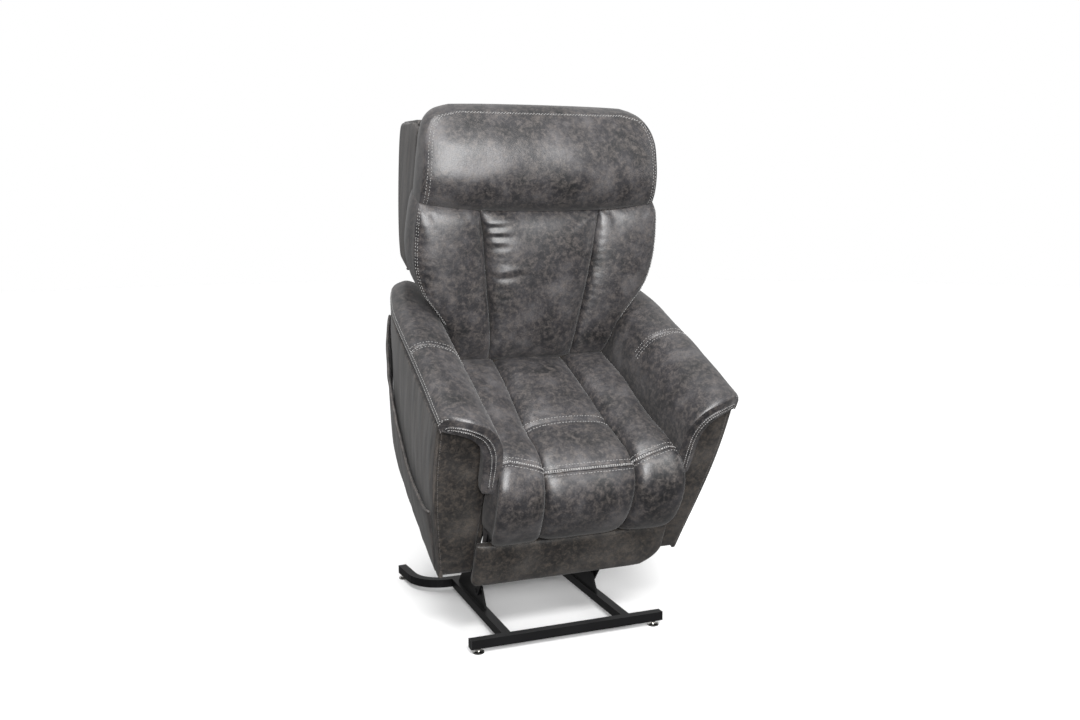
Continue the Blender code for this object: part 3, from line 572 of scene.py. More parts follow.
SEAT_PUFF = (0.46, 0.56)  # how flat and how full the channels are: see puff
VALLEY_LIFT = 0.34  # the valleys go this far of the way to the lining
SIDE_ROLL = 0.014  # how far the outer channels roll in under
SKIRT_FROM, SKIRT_OVER = 7.4, 0.8  # knots where the lining starts to form a skirt


def seat_point(s, t):
    """s runs from 0 to 3 over the three channels, t along the seat from the crease to the bottom."""
    channel = min(int(s), 2)
    across, high = puff(pi * (s - channel), *SEAT_PUFF)
    inner = through(SEAT_INNER, t)
    valley = lerp(through(SEAT_VALLEY, t), inner, VALLEY_LIFT)
    edge = through(SEAT_EDGE, t)
    valley_x, edge_x = through(SEAT_VALLEY_X, t), through(SEAT_EDGE_X, t)
    if channel == 1:
        x = valley_x * across
        base, crown = valley, through(SEAT_CROWN_MIDDLE, t)
    else:
        side = channel - 1
        outward = across * side
        x = side * lerp(valley_x, edge_x, (outward + 1) / 2)
        if outward > 0:
            x -= side * SIDE_ROLL * (1 - high) ** 1.5
        f = (outward + 1) / 2
        base = lerp(valley, edge, f)
        to_side = min(1.0, 0.30 + 0.90 * f)
        crown = lerp(through(SEAT_CROWN_MIDDLE, t), through(SEAT_CROWN_SIDE, t), to_side)
    r, u = lerp(base, crown, high)
    away = Vector((0, r - inner[0], u - inner[1])).normalized()
    depth = 0.006 * bell(t - SEAT_SEAM, 0.055) + 0.004 * bell(t - SEAT_SEAM, 0.35)
    if channel == 1:
        depth += 0.006 * bell(t - CROSS_SEAM, 0.035) + 0.005 * bell(t - CROSS_SEAM, 0.22)
    swell = lumps((x, r, u), 9.0, 0.0045, 3.0) + lumps((x, r, u), 24.0, 0.0016, 5.0)
    pucker = 0.001 * sin(2 * pi * x / 0.019 + 6 * noise.noise(Vector((x * 20, t, 1.0))))
    pucker *= exp(-(abs(t - SEAT_SEAM) / 0.30))
    move = away * ((swell + pucker) * high - depth * min(high * 1.5, 1))
    return x, r + move.y, u + move.z


def seat_inner(s, t):
    """The lining; below the front seam its outer columns reach back to the arms as a skirt."""
    x, _, _ = seat_point(s, t)
    r, u = through(SEAT_INNER, t)
    low = grown(t, SKIRT_FROM, SKIRT_OVER)
    x *= lerp(0.90, 0.985, low)
    rim = min(s, 3 - s) * CHANNEL_STEPS
    side = 1 if x > 0 else -1
    if low and rim < 1.5:
        skirt = 1 if rim < 0.5 else 0
        out = max(through(SEAT_EDGE_X, t), 0.256) - 0.001 if skirt else 0.250
        drop = 0.045 if skirt else 0.010
        x = lerp(x, side * out, low)
        r = lerp(r, -0.003, low * skirt)
        u -= drop * grown(t, 12, 2)
    return x, r, u


SEAM_OFFSETS = (-0.2, -0.12, -0.07, -0.035, 0.035, 0.07, 0.12, 0.2)
seat_s = [c + a for c in range(3) for a in spread(0.0, 1.0, CHANNEL_STEPS)[:-1]] + [3.0]
seat_t = crowded(spread(0.0, 14.0, 85), [SEAT_SEAM, CROSS_SEAM], SEAM_OFFSETS)
seat = slab("seat_cover", seat_point, seat_inner, seat_s, seat_t, HIDE, bulge=0.006)
seam_rows = [k for k, t in enumerate(seat_t) if abs(t - SEAT_SEAM) < 0.12]


seat_channels_held = cover_hold(len(seat_t), len(seat_s), range(0, len(seat_s), CHANNEL_STEPS - 1))


def seat_held(index):
    """The hold of the channels, and a firm one on the front seam's rows."""
    row = index // len(seat_s)
    return 0.9 if row in seam_rows else seat_channels_held(index)


inflate(seat, seat_held)
seat_tree = surface_of(seat)


def seat_row(channel, t):
    """A path across one channel, ending just short of its valleys."""
    line = [at(*seat_point(channel + f, t)) for f in spread(0.06, 1 - 0.06, 40)]
    return laid(seat_tree, line)


front_rows = [[seat_row(c, SEAT_SEAM + d) for c in range(3)] for d in (-0.36, -0.085, 0.085, 0.36)]
cross_rows = [seat_row(1, CROSS_SEAM + d) for d in (-0.10, 0.12)]
rope_rows = front_rows[1] + front_rows[2]
SEAT_RIDGE = 0.0034
seat_ridges = cords("seat_seam_ridges", rope_rows, HIDE, radius=SEAT_RIDGE, sink=0.42)
seat_thread = stitches("seat_seam_thread", front_rows[0] + front_rows[3] + cross_rows, THREAD)
rope = stitches("seat_seam_rope", rope_rows, THREAD, length=0.004, gap=0.0016, radius=0.0009)
raised(rope, seat_tree, SEAT_RIDGE)
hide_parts("seat_cushion", "footrest_pad")
for finer in list(seat.modifiers):
    bpy.context.view_layer.objects.active = seat
    seat.select_set(True)
    bpy.ops.object.modifier_apply(modifier=finer.name)
for piece in (seat, seat_ridges, seat_thread, rope):
    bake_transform(piece)


def core_top(s, t):
    """The firm core that fills the seat between its cover and the deck."""
    return 0.226 * s, 0.030 + 0.400 * t, 0.334 - 0.006 * (s * s)


def core_bottom(s, t):
    return 0.222 * s, 0.034 + 0.392 * t, 0.268


core = slab("seat_core", core_top, core_bottom, spread(-1, 1, 13), spread(0, 1, 13), HIDE_LOW, bulge=0.006)
belongs(core, "chair", "cushion", fill=0.9)


# ---- Foot board ----
BOARD_HALF, BOARD_TOP, BOARD_BOTTOM = 0.2775, 0.137, -0.004


def board_point(s, t):
    """The board's front; its lower corners are cut in, the one at positive x more."""
    u = lerp(BOARD_BOTTOM, BOARD_TOP, t)
    half = BOARD_HALF
    if s > 0:
        half -= 0.055 * max(0.0, 1 - t / 0.42) ** 1.7
    else:
        half -= 0.012 * max(0.0, 1 - t / 0.12) ** 2
    x = half * s
    crown = (1 - abs(s) ** 10) ** 0.5 * (1 - abs(2 * t - 1) ** 5) ** 0.6
    return x, -0.040 - 0.013 * crown + lumps((x, 0, u), 12.0, 0.0022, 9.0) * crown, u


def board_inner(s, t):
    x, _, u = board_point(s, t)
    return x * 0.985, -0.0225, lerp(0.066, u, 0.96)


board_s, board_t = eased(-1, 1, 41), eased(0, 1, 19)
board = slab("foot_board_cover", board_point, board_inner, board_s, board_t, HIDE_LOW, rings=2, bulge=0.003)
belongs(board, "footrest", "upholstery", "footrest_board", fill=0.5)


# ---- Back cushion: three panels parted by two deep valleys that spread upward ----
BACK_U = (0.390, 0.410, 0.450, 0.500, 0.550, 0.600, 0.650, 0.700, 0.760, 0.812, 0.838)
BACK_CROWN_MIDDLE = (0.456, 0.438, 0.428, 0.430, 0.438, 0.448, 0.459, 0.472, 0.492, 0.516, 0.548)
BACK_CROWN_SIDE = (0.458, 0.442, 0.433, 0.437, 0.446, 0.457, 0.470, 0.484, 0.502, 0.522, 0.550)
BACK_VALLEY = (0.470, 0.470, 0.472, 0.481, 0.493, 0.505, 0.517, 0.529, 0.545, 0.559, 0.570)
BACK_EDGE = (0.474, 0.469, 0.468, 0.476, 0.490, 0.506, 0.523, 0.536, 0.547, 0.555, 0.564)
BACK_VALLEY_X = (0.127, 0.128, 0.130, 0.135, 0.142, 0.149, 0.155, 0.161, 0.168, 0.176, 0.180)
BACK_EDGE_X = (0.222, 0.236, 0.246, 0.262, 0.296, 0.336, 0.356, 0.363, 0.362, 0.358, 0.350)
BACK_REAR = (0.555, 0.575, 0.592, 0.606, 0.622, 0.632, 0.636, 0.640, 0.644, 0.648, 0.652)
HEAD_SAG, SAG_HALF = 0.018, 0.350  # how far the head seam sags, and the half-width it sags over
PANEL_STEPS = 27
BACK_PUFF = (0.50, 0.50)
# Folds of the middle panel: x and u of the middle, half-length, half-width and height.
BACK_FOLDS = ((-0.125, 0.795, 0.055, 0.010, 0.0045), (-0.130, 0.770, 0.050, 0.009, 0.004),
              (-0.125, 0.745, 0.040, 0.008, 0.003), (-0.100, 0.660, 0.045, 0.010, 0.005),
              (0.140, 0.800, 0.030, 0.009, 0.003))
FOLD_SLOPE = 0.18


def back_sag(x, t):
    return -HEAD_SAG * (1 - (x / SAG_HALF) ** 2) * max(0.0, (t - 4) / 6) ** 1.5


def folded(x, r, u):
    """r with the middle panel's folds: each a shallow groove with a lower ridge above it."""
    for middle_x, middle_u, long, wide, tall in BACK_FOLDS:
        line_u = middle_u + FOLD_SLOPE * (x - middle_x)
        along = bell(x - middle_x, long)
        groove = along * bell(u - line_u, wide)
        r += tall * groove - tall * 0.7 * along * bell(u - line_u - 1.7 * wide, wide)
    return r


def back_point(s, t):
    """s runs from 0 to 3 over the three panels, t from the bottom to the head seam."""
    panel = min(int(s), 2)
    across, high = puff(pi * (s - panel), *BACK_PUFF)
    valley_x, edge_x = through(BACK_VALLEY_X, t), through(BACK_EDGE_X, t)
    valley, edge = through(BACK_VALLEY, t), through(BACK_EDGE, t)
    if panel == 1:
        x, base, crown = valley_x * across, valley, through(BACK_CROWN_MIDDLE, t)
    else:
        side = panel - 1
        f = (across * side + 1) / 2
        x = side * lerp(valley_x, edge_x, f)
        base, crown = lerp(valley, edge, f), through(BACK_CROWN_SIDE, t)
    u = through(BACK_U, t)
    r = lerp(base, crown, high)
    swell = lumps((x, r, u), 7.0, 0.006, 11.0) + lumps((x, r, u), 20.0, 0.0022, 13.0)
    r -= swell * high
    if panel == 1:
        r = folded(x, r, u)
    pucker = 0.0011 * sin(2 * pi * u / 0.023 + 5 * noise.noise(Vector((x * 9, u * 11, 2.0))))
    r += pucker * (1 - high) ** 0.5 * high
    return x, r, u + back_sag(x, t)


def back_inner(s, t):
    x, _, u = back_point(s, t)
    return x * 0.985, through(BACK_REAR, t), u


back_s = [c + a for c in range(3) for a in spread(0.0, 1.0, PANEL_STEPS)[:-1]] + [3.0]
back_t = spread(0.0, 10.0, 91)
back = slab("back_cushion_cover", back_point, back_inner, back_s, back_t, HIDE, rings=5, bulge=0.007)
inflate(back, cover_hold(len(back_t), len(back_s), range(0, len(back_s), PANEL_STEPS - 1)))
belongs(back, "back", "cushion", "back_cushion", fill=0.8)


def tail_point(s, t, depth):
    """The flap under the cushion that keeps the crease closed as the back reclines."""
    u = lerp(0.300, 0.414, t)
    return 0.236 * s, 0.458 + depth + lumps((0.236 * s, 0, u), 12.0, 0.003, 15.0), u


tail = slab("back_tail", lambda s, t: tail_point(s, t, 0.0), lambda s, t: tail_point(s, t, 0.032),
            spread(-1, 1, 31), spread(0, 1, 9), HIDE_LOW, rings=2, bulge=0.004)
belongs(tail, "back", "cushion", fill=0.6)

# ---- Headrest roll ----
HEAD_U = (0.826, 0.834, 0.850, 0.880, 0.920, 0.960, 1.000, 1.033, 1.056, 1.069)
HEAD_CROWN = (0.560, 0.543, 0.526, 0.514, 0.516, 0.532, 0.558, 0.592, 0.622, 0.650)
HEAD_EDGE = (0.568, 0.562, 0.557, 0.555, 0.561, 0.576, 0.598, 0.624, 0.646, 0.666)
HEAD_EDGE_X = (0.345, 0.349, 0.349, 0.348, 0.346, 0.343, 0.339, 0.327, 0.302, 0.258)
HEAD_REAR = (0.640, 0.645, 0.650, 0.656, 0.665, 0.674, 0.682, 0.690, 0.696, 0.700)


def head_point(s, t):
    edge_x = through(HEAD_EDGE_X, t)
    x = edge_x * s
    high = max(0.0, 1 - abs(s) ** 3.2) ** 0.6
    r = lerp(through(HEAD_EDGE, t), through(HEAD_CROWN, t), high)
    u = through(HEAD_U, t)
    swell = lumps((x, r, u), 6.0, 0.007, 21.0) + lumps((x, r, u), 18.0, 0.0025, 23.0)
    ends = min(t / 2, 1) * min((9 - t) / 2, 1)
    r -= swell * high * ends
    fade = max(0.0, 1 - t / 5)
    sag = HEAD_SAG * (1 - (x / SAG_HALF) ** 2) * fade
    return x, r, u - sag - 0.004 * abs(s) ** 3 * max(0, t - 6) / 3


def head_inner(s, t):
    x, _, u = head_point(s, t)
    return x * 0.985, through(HEAD_REAR, t), u


head_s = eased(-1, 1, 61)
head_t = crowded(spread(0.0, 9.0, 55), [9.0], (-0.1, -0.05))
head = slab("headrest_roll", head_point, head_inner, head_s, head_t, HIDE, rings=5, bulge=0.006)
inflate(head, cover_hold(len(head_t), len(head_s), (0, len(head_s) - 1)))
belongs(head, "back", "cushion", "headrest", fill=0.8)


# ---- Arms ----
ARM_SKIN = ((0.4105, 0.511), (0.414, 0.519), (0.4135, 0.534), (0.403, 0.548), (0.380, 0.556),
            (0.347, 0.555), (0.312, 0.542), (0.282, 0.518), (0.261, 0.484), (0.2515, 0.440),
            (0.2495, 0.400), (0.250, 0.360), (0.252, 0.324))
ARM_UNDER_LIP = ((0.406, 0.509), (0.404, 0.5095), (0.400, 0.510), (0.390, 0.510), (0.370, 0.5105),
                 (0.348, 0.506), (0.327, 0.492), (0.312, 0.470), (0.303, 0.442), (0.2995, 0.413),
                 (0.298, 0.385), (0.297, 0.355), (0.293, 0.325))
ARM_UNDER = ((0.413, 0.5032), (0.412, 0.5034), (0.408, 0.504), (0.395, 0.5045), (0.370, 0.5045),
             (0.340, 0.504), (0.310, 0.502), (0.285, 0.492), (0.269, 0.470), (0.2625, 0.435),
             (0.262, 0.400), (0.262, 0.360), (0.262, 0.324))
ARM_R = (-0.050, -0.044, -0.030, -0.010, 0.005, 0.040, 0.120, 0.250, 0.400, 0.550, 0.660, 0.695)
ARM_NOSE = (-0.008, -0.003, -0.001, 0.0, 0.0, 0.0, 0.001, 0.001, -0.004, -0.012, -0.022, -0.030)
CROSS_R = 0.300  # where the seam across the arm's top runs


def drawn_in(r):
    """How far an arm's outer side comes in: a little along its length, more at the rear corner."""
    return 0.016 * max(r, 0.0) + 0.040 * grown(r, 0.45, 0.25) ** 2


ARM_HALF, ARM_FLARE = 0.359, 0.105  # half-width over the arms at the bottom, and its growth upward


def arm_face(u, r=0.0):
    """Half-width of an arm's outer side, which leans out and is padded fullest above its middle."""
    full = 0.016 * sin(pi * grown(u, 0.0, 0.53) ** 1.25)
    full *= 1 - grown(r, 0.20, 0.35)
    return ARM_HALF + ARM_FLARE * u + full - drawn_in(r)


def taper(x, r):
    """x moved with the arm's outer side; its inner side fills out towards the back instead."""
    outer = grown(x, 0.275, 0.11)
    fuller = 0.015 * grown(r, 0.22, 0.28) * bell(x - 0.300, 0.030)
    return x - drawn_in(r) * outer - fuller


def swept(x, r):
    """How far the lip's front edge moves back towards the arm's outer side."""
    return 0.040 * grown(x, 0.325, 0.092) ** 1.6 * grown(-r, 0.0, 0.05)


def arm_top(u):
    """1 over the arm's rounded top, fading to 0 down its sides."""
    return grown(u, 0.42, 0.09)


def arm_point(side):
    def point(s, t):
        """s runs over the skin from the outer edge to the seat, t from the lip to the rear."""
        x, u = through(ARM_SKIN, s)
        r = through(ARM_R, t)
        r += swept(x, r)
        top = arm_top(u)
        u += through(ARM_NOSE, t) * top
        if t > 3 and s > 10:
            u -= 0.03 * (s - 10) / 2
        inward = grown(s, 8, 1)
        away = lerp(1, 0.4, inward)
        swell = lumps((x * side, r, u), 8.0, 0.0035, 31.0 + side) + lumps((x, r, u), 22.0, 0.0014, 33.0)
        groove = 0.0035 * bell(r - CROSS_R, 0.004) * (1 if 1.6 < s < 9.5 else 0)
        u += (swell * min(1, s) - groove) * top * away
        x -= 0.3 * swell * (1 - top) * inward
        return side * taper(x, r), r, u
    return point


def arm_under(side):
    def point(s, t):
        """The underside: far from the skin in front, where the lip is thick, and close to it behind."""
        x, u = lerp(through(ARM_UNDER_LIP, s), through(ARM_UNDER, s), grown(t, 2.6, 1.4))
        r = through(ARM_R, t)
        r += swept(x, r)
        if t < 1:
            r += 0.004 * (1 - t)
        if t > 3 and s > 10:
            u -= 0.03 * (s - 10) / 2
        drop = min(0.0, through(ARM_NOSE, t)) * arm_top(u)
        return side * taper(x, r), r, u + drop
    return point


SIDE_U = (0.002, 0.014, 0.042, 0.080, 0.130, 0.200, 0.320, 0.430, 0.500)
SIDE_REAR = (0.455, 0.530, 0.590, 0.635, 0.662, 0.672, 0.680, 0.692, 0.697)


def side_point(side, depth=0.0):
    def point(s, t):
        """s runs rearward over the arm's outer side, t upward."""
        u = through(SIDE_U, t)
        r = lerp(0.003, through(SIDE_REAR, t), s)
        rim = min(1.0, s / 0.03, (1 - s) / 0.03)
        ends = min(1.0, t / 0.8)
        crown = 0.0045 * (rim * ends) ** 0.5
        ripple = lumps((0, r * 6, u * 0.9), 9.0, 0.0022, 41.0 + side) + lumps((0, r, u), 6.0, 0.003, 43.0)
        x = arm_face(u, r) - 0.003 + crown + ripple * rim * ends - depth
        return side * x, r, u
    return point


def front_point(side, depth=0.0):
    def point(s, t):
        """s runs outward over the arm's front, t upward."""
        u = 0.003 + t * (0.503 - 0.055 * max(0.0, 1 - s / 0.35))
        outer = arm_face(u) - 0.0015
        x = lerp(0.2635, outer, s)
        edge = (1 - abs(2 * s - 1) ** 8) ** 0.5
        ends = min(1.0, t / 0.06) ** 0.5
        r = 0.008 - 0.0085 * edge * ends - 0.004 * sin(pi * s) * sin(pi * min(t, 1.0))
        r += lumps((x * side, 0, u), 10.0, 0.002, 51.0) * edge
        return side * x, r + depth, u
    return point


cross_knot = next(k for k in range(len(ARM_R) - 1) if ARM_R[k + 1] > CROSS_R)
cross_gap = ARM_R[cross_knot + 1] - ARM_R[cross_knot]
CROSS_T = cross_knot + (CROSS_R - ARM_R[cross_knot]) / cross_gap


def arm_cover(name, side):
    """The wrapped pad over an arm, with its lip."""
    ss = crowded(spread(0.0, 12.0, 61), [0.0], (0.08,))
    ts = crowded(spread(0.0, 11.0, 67), [0.0, 1.0], (-0.3, 0.3, 0.1))
    ts = crowded(ts, [CROSS_T], (-0.05, -0.03, -0.015, 0.015, 0.03, 0.05))
    cover = slab(f"arm_cover_{name}", arm_point(side), arm_under(side), ss, ts, HIDE, rings=4, bulge=0.0045)
    belongs(cover, "chair", "cushion", f"arm_pad_{name}", fill=0.7)
    return cover


def arm_stitching(name, side, tree):
    """Two rows along the outer edge, two ropes round the lip and three rows across the top."""
    skin, under = arm_point(side), arm_under(side)

    def skin_path(knots, count):
        return laid(tree, [at(*skin(*through(knots, k))) for k in spread(0.0, len(knots) - 1, count)])

    def lip_path(f):
        """Round the lip's front face, f of the way from the skin to the underside."""
        line = []
        for s in spread(1.0, 11.4, 220):
            x, r, u = lerp(skin(s, 0.0), under(s, 0.0), f)
            line.append(at(x, r - 0.02, u))
        return laid(tree, line)

    edge_rows = []
    for s, t in ((2.05, 0.62), (1.30, 0.25)):
        straight = [(s, knot) for knot in (10.4, 8.0, 5.0, 3.0, 1.6)]
        edge_rows.append(skin_path(straight + [(s + 0.15, t + 0.35), (s + 0.7, t), (s + 1.4, t)], 220))
    hem_rows = [lip_path(f) for f in (0.42, 0.66)]
    ridge = cords(f"arm_seam_ridge_{name}", hem_rows, HIDE, radius=0.0026, sink=0.42)
    thread = stitches(f"arm_seam_thread_{name}", edge_rows, THREAD, radius=0.0008)
    hem = stitches(f"arm_hem_thread_{name}", hem_rows, THREAD, length=0.0042, gap=0.0014, radius=0.0009)
    raised(hem, tree, 0.0024)
    cross_rows = []
    for offset in (-0.012, 0.0, 0.012):
        t = CROSS_T + offset / cross_gap
        cross_rows.append(skin_path([(s, t) for s in (2.3, 4.0, 6.0, 8.2)], 60))
    cross = stitches(f"arm_cross_thread_{name}", cross_rows, THREAD, length=0.0046, radius=0.00075)
    for piece in (ridge, thread, hem, cross):
        belongs(piece, "chair", "upholstery")


def arm_lining(name, side):
    """The plain cover of an arm's inner face, beside the seat."""
    def face(s, t):
        x = 0.250 - 0.0015 * sin(pi * t)
        return side * x, lerp(0.004, 0.640, s), lerp(0.061, 0.291, t)

    def reverse(s, t):
        return side * 0.2615, lerp(0.006, 0.638, s), lerp(0.063, 0.291, t)

    lining = slab(f"arm_inner_cover_{name}", face, reverse, spread(0.0, 1.0, 25), spread(0.0, 1.0, 11),
                  HIDE_LOW, rings=1, bulge=0.001)
    belongs(lining, "chair", "upholstery", f"arm_inner_panel_{name}")


def arm_panels(name, side):
    """The covers of an arm's outer side and front, and the stitching down the corner between them."""
    ts = crowded(spread(0.0, 8.0, 49), [0.0], (0.1,))
    panel = slab(f"arm_side_cover_{name}", side_point(side), side_point(side, 0.012), eased(0, 1, 49), ts,
                 HIDE_SIDE, rings=2, bulge=0.002)
    belongs(panel, "chair", "upholstery", f"arm_side_panel_{name}", fill=0.3)
    front = front_point(side)
    facing = slab(f"arm_front_cover_{name}", front, front_point(side, 0.016), eased(0, 1, 21),
                  spread(0.0, 1.0, 45), HIDE_LOW, rings=2, bulge=0.001)
    belongs(facing, "chair", "upholstery", f"arm_front_panel_{name}", fill=0.4)
    row = laid(surface_of(facing), [at(*front(0.91, t)) for t in spread(0.02, 0.99, 90)])
    corner = stitches(f"arm_corner_thread_{name}", [row], THREAD_DARK, length=0.004, gap=0.003, radius=0.0007)
    belongs(corner, "chair", "upholstery")


for name, side in SIDES:
    arm_stitching(name, side, surface_of(arm_cover(name, side)))
    arm_lining(name, side)
    arm_panels(name, side)


# ---- Closed rear ends of the arms, and the cloth behind the back frame ----
def rear_end(side, depth=0.0):
    def point(s, t):
        u = through(SIDE_U, t)
        r = through(SIDE_REAR, t) - 0.005 - depth + lumps((s * 0.1, 0, u), 9.0, 0.002, 91.0)
        return side * lerp(0.264, arm_face(u, r) - 0.004, s), r, u
    return point


for name, side in SIDES:
    end = slab(f"arm_rear_cover_{name}", rear_end(side), rear_end(side, 0.006), spread(0.0, 1.0, 9),
               spread(2.0, 8.0, 37), HIDE_LOW, rings=1, bulge=0.001)
    belongs(end, "chair", "upholstery")

CLOTH = metal("dust_cloth", (0.012, 0.012, 0.013), 0.9, 0.0, 900.0, 0.5)
BACK_LEAN = radians(25.4)


def behind_frame(s, t, off):
    """A point of the dust cloth: across the frame, up it, and off behind its rear face."""
    along = lerp(0.052, 0.385, t)
    sag = lumps((s * 0.2, along, 0), 9.0, 0.0016, 95.0)
    across = -0.0275 + off + sag
    return (0.199 * s, HINGE_AT["recline"][0] + along * sin(BACK_LEAN) + across * cos(BACK_LEAN),
            HINGE_AT["recline"][1] + along * cos(BACK_LEAN) - across * sin(BACK_LEAN))


dust = slab("back_dust_cloth", lambda s, t: behind_frame(s, t, 0.004),
            lambda s, t: behind_frame(s, t, 0.0022), spread(-1, 1, 25), spread(0, 1, 25), CLOTH,
            rings=1, bulge=0.0004)
belongs(dust, "back", "upholstery")

# ---- Side pocket on the right arm ----
MOUTH = ((0.012, 0.232), (0.050, 0.221), (0.176, 0.219), (0.336, 0.250), (0.477, 0.306), (0.600, 0.380),
         (0.668, 0.430))
POCKET_LOW = ((0.012, 0.020), (0.090, 0.016), (0.200, 0.016), (0.340, 0.018), (0.480, 0.028), (0.590, 0.085),
              (0.664, 0.260))


def pocket_point(depth=0.0):
    def point(s, t):
        """s runs rearward along the pocket, t from its bottom to its mouth."""
        r0, u0 = through(POCKET_LOW, s)
        r1, u1 = through(MOUTH, s)
        r, u = lerp(r0, r1, t), lerp(u0, u1, t)
        ends = sin(pi * s / 6) ** 0.6 if 0 < s < 6 else 0.0
        fullness = 0.35 + 0.65 * sin(pi / 2 * min(1, t * 1.3))
        out = 0.005 + 0.0135 * ends * fullness * min(1, t / 0.12) ** 0.5
        out += lumps((0, r * 3, u), 9.0, 0.002, 61.0) * ends
        return -(arm_face(u, r) + out - depth), r, u
    return point


pocket = slab("side_pocket_cover", pocket_point(), pocket_point(0.0035), spread(0.0, 6.0, 61),
              spread(0.0, 1.0, 31), HIDE_SIDE, rings=1, bulge=0.001)
belongs(pocket, "chair", "upholstery", "side_pocket", fill=0.2)
mouth = laid(surface_of(pocket), [at(*pocket_point()(s, 0.996)) for s in spread(0.02, 5.98, 120)])
welt = cords("pocket_welt", [mouth], HIDE_SIDE, radius=0.0042, sink=0.35)
belongs(welt, "chair", "upholstery")

# ---- Back shell: wings, rear and top ----
SHELL_PATH = ((0.733, 0.553), (0.760, 0.600), (0.815, 0.720), (0.868, 0.835), (0.904, 0.912),
              (0.902, 0.932), (0.868, 0.949), (0.810, 0.974), (0.764, 0.993), (0.753, 0.986))
SHELL_INNER = ((0.722, 0.558), (0.748, 0.605), (0.803, 0.725), (0.856, 0.840), (0.890, 0.912),
               (0.887, 0.922), (0.860, 0.934), (0.805, 0.958), (0.762, 0.978), (0.754, 0.980))
SHELL_HALF = 0.330


def shell_point(s, t):
    """s runs across the shell, t up its rear and forward over its top."""
    r, u = through(SHELL_PATH, t)
    edge = 1 - abs(s) ** 12
    crown = 0.004 * edge if t < 5 else 0
    return 0.3165 * s, r + crown + lumps((s * 0.3, 0, u), 5.0, 0.003, 71.0) * edge, u


def shell_inner(s, t):
    r, u = through(SHELL_INNER, t)
    return 0.3155 * s, r, u


shell = slab("back_shell_rear", shell_point, shell_inner, eased(-1, 1, 31), spread(0.0, 9.0, 64), HIDE_SIDE,
             rings=1, bulge=0.001)
belongs(shell, "back", "upholstery", "back_outer_panel")

WING_U = (0.574, 0.584, 0.610, 0.670, 0.760, 0.850, 0.905, 0.936, 0.962, 0.984)
WING_FRONT = (0.690, 0.660, 0.634, 0.640, 0.652, 0.668, 0.682, 0.690, 0.697, 0.708)
WING_REAR = (0.742, 0.770, 0.796, 0.828, 0.863, 0.888, 0.896, 0.884, 0.822, 0.766)


def wing_point(side, depth=0.0):
    def point(s, t):
        """s runs rearward over the wing's outer face, t upward."""
        u = through(WING_U, t)
        r = lerp(through(WING_FRONT, t), through(WING_REAR, t), s)
        rim = min(1.0, s / 0.10, (1 - s) / 0.10, t / 0.8, (9 - t) / 0.8)
        x = SHELL_HALF - 0.005 + 0.0065 * max(rim, 0.0) ** 0.5
        x += lumps((0, r * 2, u), 8.0, 0.0015, 81.0) * rim - depth
        return side * x, r, u
    return point


for name, side in SIDES:
    wing = slab(f"back_wing_cover_{name}", wing_point(side), wing_point(side, 0.0085), eased(0, 1, 25),
                eased(0, 9, 45), HIDE_SIDE, rings=2, bulge=0.002)
    belongs(wing, "back", "upholstery", f"back_wing_{name}")
    line = [at(*wing_point(side)(0.03, t)) for t in spread(0.6, 8.6, 90)]
    front_edge = laid(surface_of(wing), line)
    piping = cords(f"back_wing_welt_{name}", [front_edge], HIDE_SIDE, radius=0.0036, sink=0.3)
    belongs(piping, "back", "upholstery")

# ---- Stitching round the back ----
def head_border(inset):
    """Up one end of the headrest roll, across near its top and down the other end."""
    turn_up = 0.72 - inset * 4
    line = [at(*head_point(-1 + inset, t)) for t in spread(0.8, 8.0, 90)]
    line += [at(*head_point(-1 + inset + 0.10 * f, 8.0 + turn_up * f)) for f in spread(0.1, 1, 8)]
    line += [at(*head_point(s, 8.72 - inset * 4)) for s in spread(-0.86 + inset, 0.86 - inset, 120)]
    line += [at(*head_point(1 - inset - 0.10 * f, 8.0 + turn_up * f)) for f in spread(1, 0.1, 8)]
    line += [at(*head_point(1 - inset, t)) for t in spread(8.0, 0.8, 90)]
    return line


tree_back, tree_head = surface_of(back), surface_of(head)
rows_back = []
for edge, inward in ((0.0, 1), (3.0, -1)):
    for inset in (0.10, 0.155):
        line = [at(*back_point(edge + inward * inset, t)) for t in spread(3.4, 9.6, 120)]
        rows_back.append(laid(tree_back, line))
rows_head = [laid(tree_head, head_border(inset)) for inset in (0.028, 0.052)]
belongs(stitches("back_border_thread", rows_back, THREAD), "back", "upholstery")
belongs(stitches("head_border_thread", rows_head, THREAD), "back", "upholstery")

# ---- Stage ----
FLOOR_RADIUS, FLOOR_DROP = 14.0, 0.0005
WORLD_STRENGTH = 0.68


def pale_floor():
    """A pale floor that throws no light back up at the chair."""
    bpy.ops.mesh.primitive_circle_add(vertices=96, radius=FLOOR_RADIUS, fill_type="NGON",
                                      location=(0, 0, -FLOOR_DROP))
    floor = bpy.context.active_object
    floor.name = "floor"
    pale, _, _ = material("pale_floor", (0.90, 0.90, 0.90), 0.8)
    floor.data.materials.append(pale)
    floor.visible_diffuse = floor.visible_glossy = False


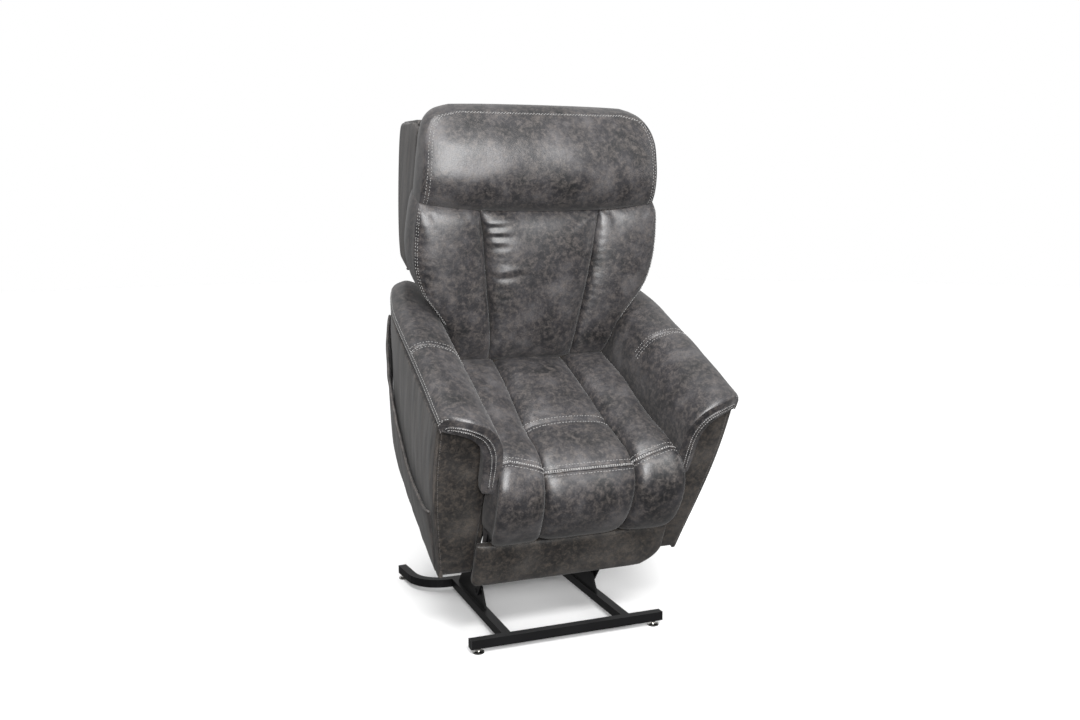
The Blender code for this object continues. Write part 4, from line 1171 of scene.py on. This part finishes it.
def studio_world():
    """A room that is dim below and bright overhead, seen by the camera as plain white."""
    world = bpy.data.worlds.new("studio")
    world.use_nodes = True
    sky = world.node_tree
    link = sky.links.new
    room = sky.nodes["Background"]
    direction = sky.nodes.new("ShaderNodeSeparateXYZ")
    link(add(sky, "ShaderNodeTexCoord").outputs["Generated"], direction.inputs["Vector"])
    upness = add(sky, "ShaderNodeMapRange")
    upness.inputs["From Min"].default_value, upness.inputs["From Max"].default_value = -1.0, 1.0
    link(direction.outputs["Z"], upness.inputs["Value"])
    greys = [(position, (grey, grey, grey)) for position, grey in ((0.30, 0.16), (0.55, 0.45), (0.85, 1.0))]
    link(ramp(sky, upness.outputs["Result"], greys), room.inputs["Color"])
    room.inputs["Strength"].default_value = WORLD_STRENGTH
    backdrop = add(sky, "ShaderNodeBackground", Color=(1.0, 1.0, 1.0, 1.0), Strength=1.0)
    seen = sky.nodes.new("ShaderNodeLightPath")
    choose = sky.nodes.new("ShaderNodeMixShader")
    link(seen.outputs["Is Camera Ray"], choose.inputs[0])
    link(room.outputs[0], choose.inputs[1])
    link(backdrop.outputs[0], choose.inputs[2])
    link(choose.outputs[0], sky.nodes["World Output"].inputs["Surface"])
    bpy.context.scene.world = world


pale_floor()
studio_world()


def lamp(name, data, towards, place=(0, 0, 0)):
    made = bpy.data.objects.new(name, data)
    made.location = place
    made.rotation_mode = "QUATERNION"
    made.rotation_quaternion = towards.to_track_quat("-Z", "Y")
    bpy.context.scene.collection.objects.link(made)


def softbox(name, place, target, size, power):
    """A rectangular lamp at place, turned towards target."""
    data = bpy.data.lights.new(name, "AREA")
    data.shape = "RECTANGLE"
    data.size, data.size_y = size
    data.energy = power
    lamp(name, data, Vector(target) - Vector(place), place)


def sunlight(name, place, power, angle):
    """Even light from the direction of place, the same all over the floor."""
    data = bpy.data.lights.new(name, "SUN")
    data.energy, data.angle = power, radians(angle)
    lamp(name, data, -Vector(place))


sunlight("key", (-0.30, -0.45, 1.5), power=1.9, angle=24)
softbox("front", (-1.0, -3.4, 1.5), (0, 0, 1.1), size=(1.5, 0.8), power=138)
softbox("strip", (-0.2, -2.9, 2.7), (0, 0, 1.2), size=(1.6, 0.6), power=105)
softbox("side", (2.6, -1.0, 1.7), (0, 0, 0.9), size=(0.8, 2.0), power=14)

# ---- Camera ----
CAMERA_AT = Vector((-1.1237, -2.8862, 1.2))
YAW, PITCH, ROLL = radians(21.37), radians(8.234), radians(0.25)
LENS_MM, SENSOR_MM = 36.36, 36.0
SKYWARD = Vector((0, 0, 1))
level_forward = Vector((sin(YAW), cos(YAW), 0))
level_right = Vector((cos(YAW), -sin(YAW), 0))
forward = level_forward * cos(PITCH) - SKYWARD * sin(PITCH)
upward = level_forward * sin(PITCH) + SKYWARD * cos(PITCH)
right = level_right * cos(ROLL) - upward * sin(ROLL)
up = level_right * sin(ROLL) + upward * cos(ROLL)
lens = bpy.data.cameras.new("camera")
lens.lens, lens.sensor_width = LENS_MM, SENSOR_MM
camera = bpy.data.objects.new("camera", lens)
camera.matrix_world = Matrix((right, up, -forward)).transposed().to_4x4()
camera.location = CAMERA_AT
bpy.context.scene.collection.objects.link(camera)
bpy.context.scene.camera = camera
bpy.context.scene.view_settings.view_transform = "Standard"
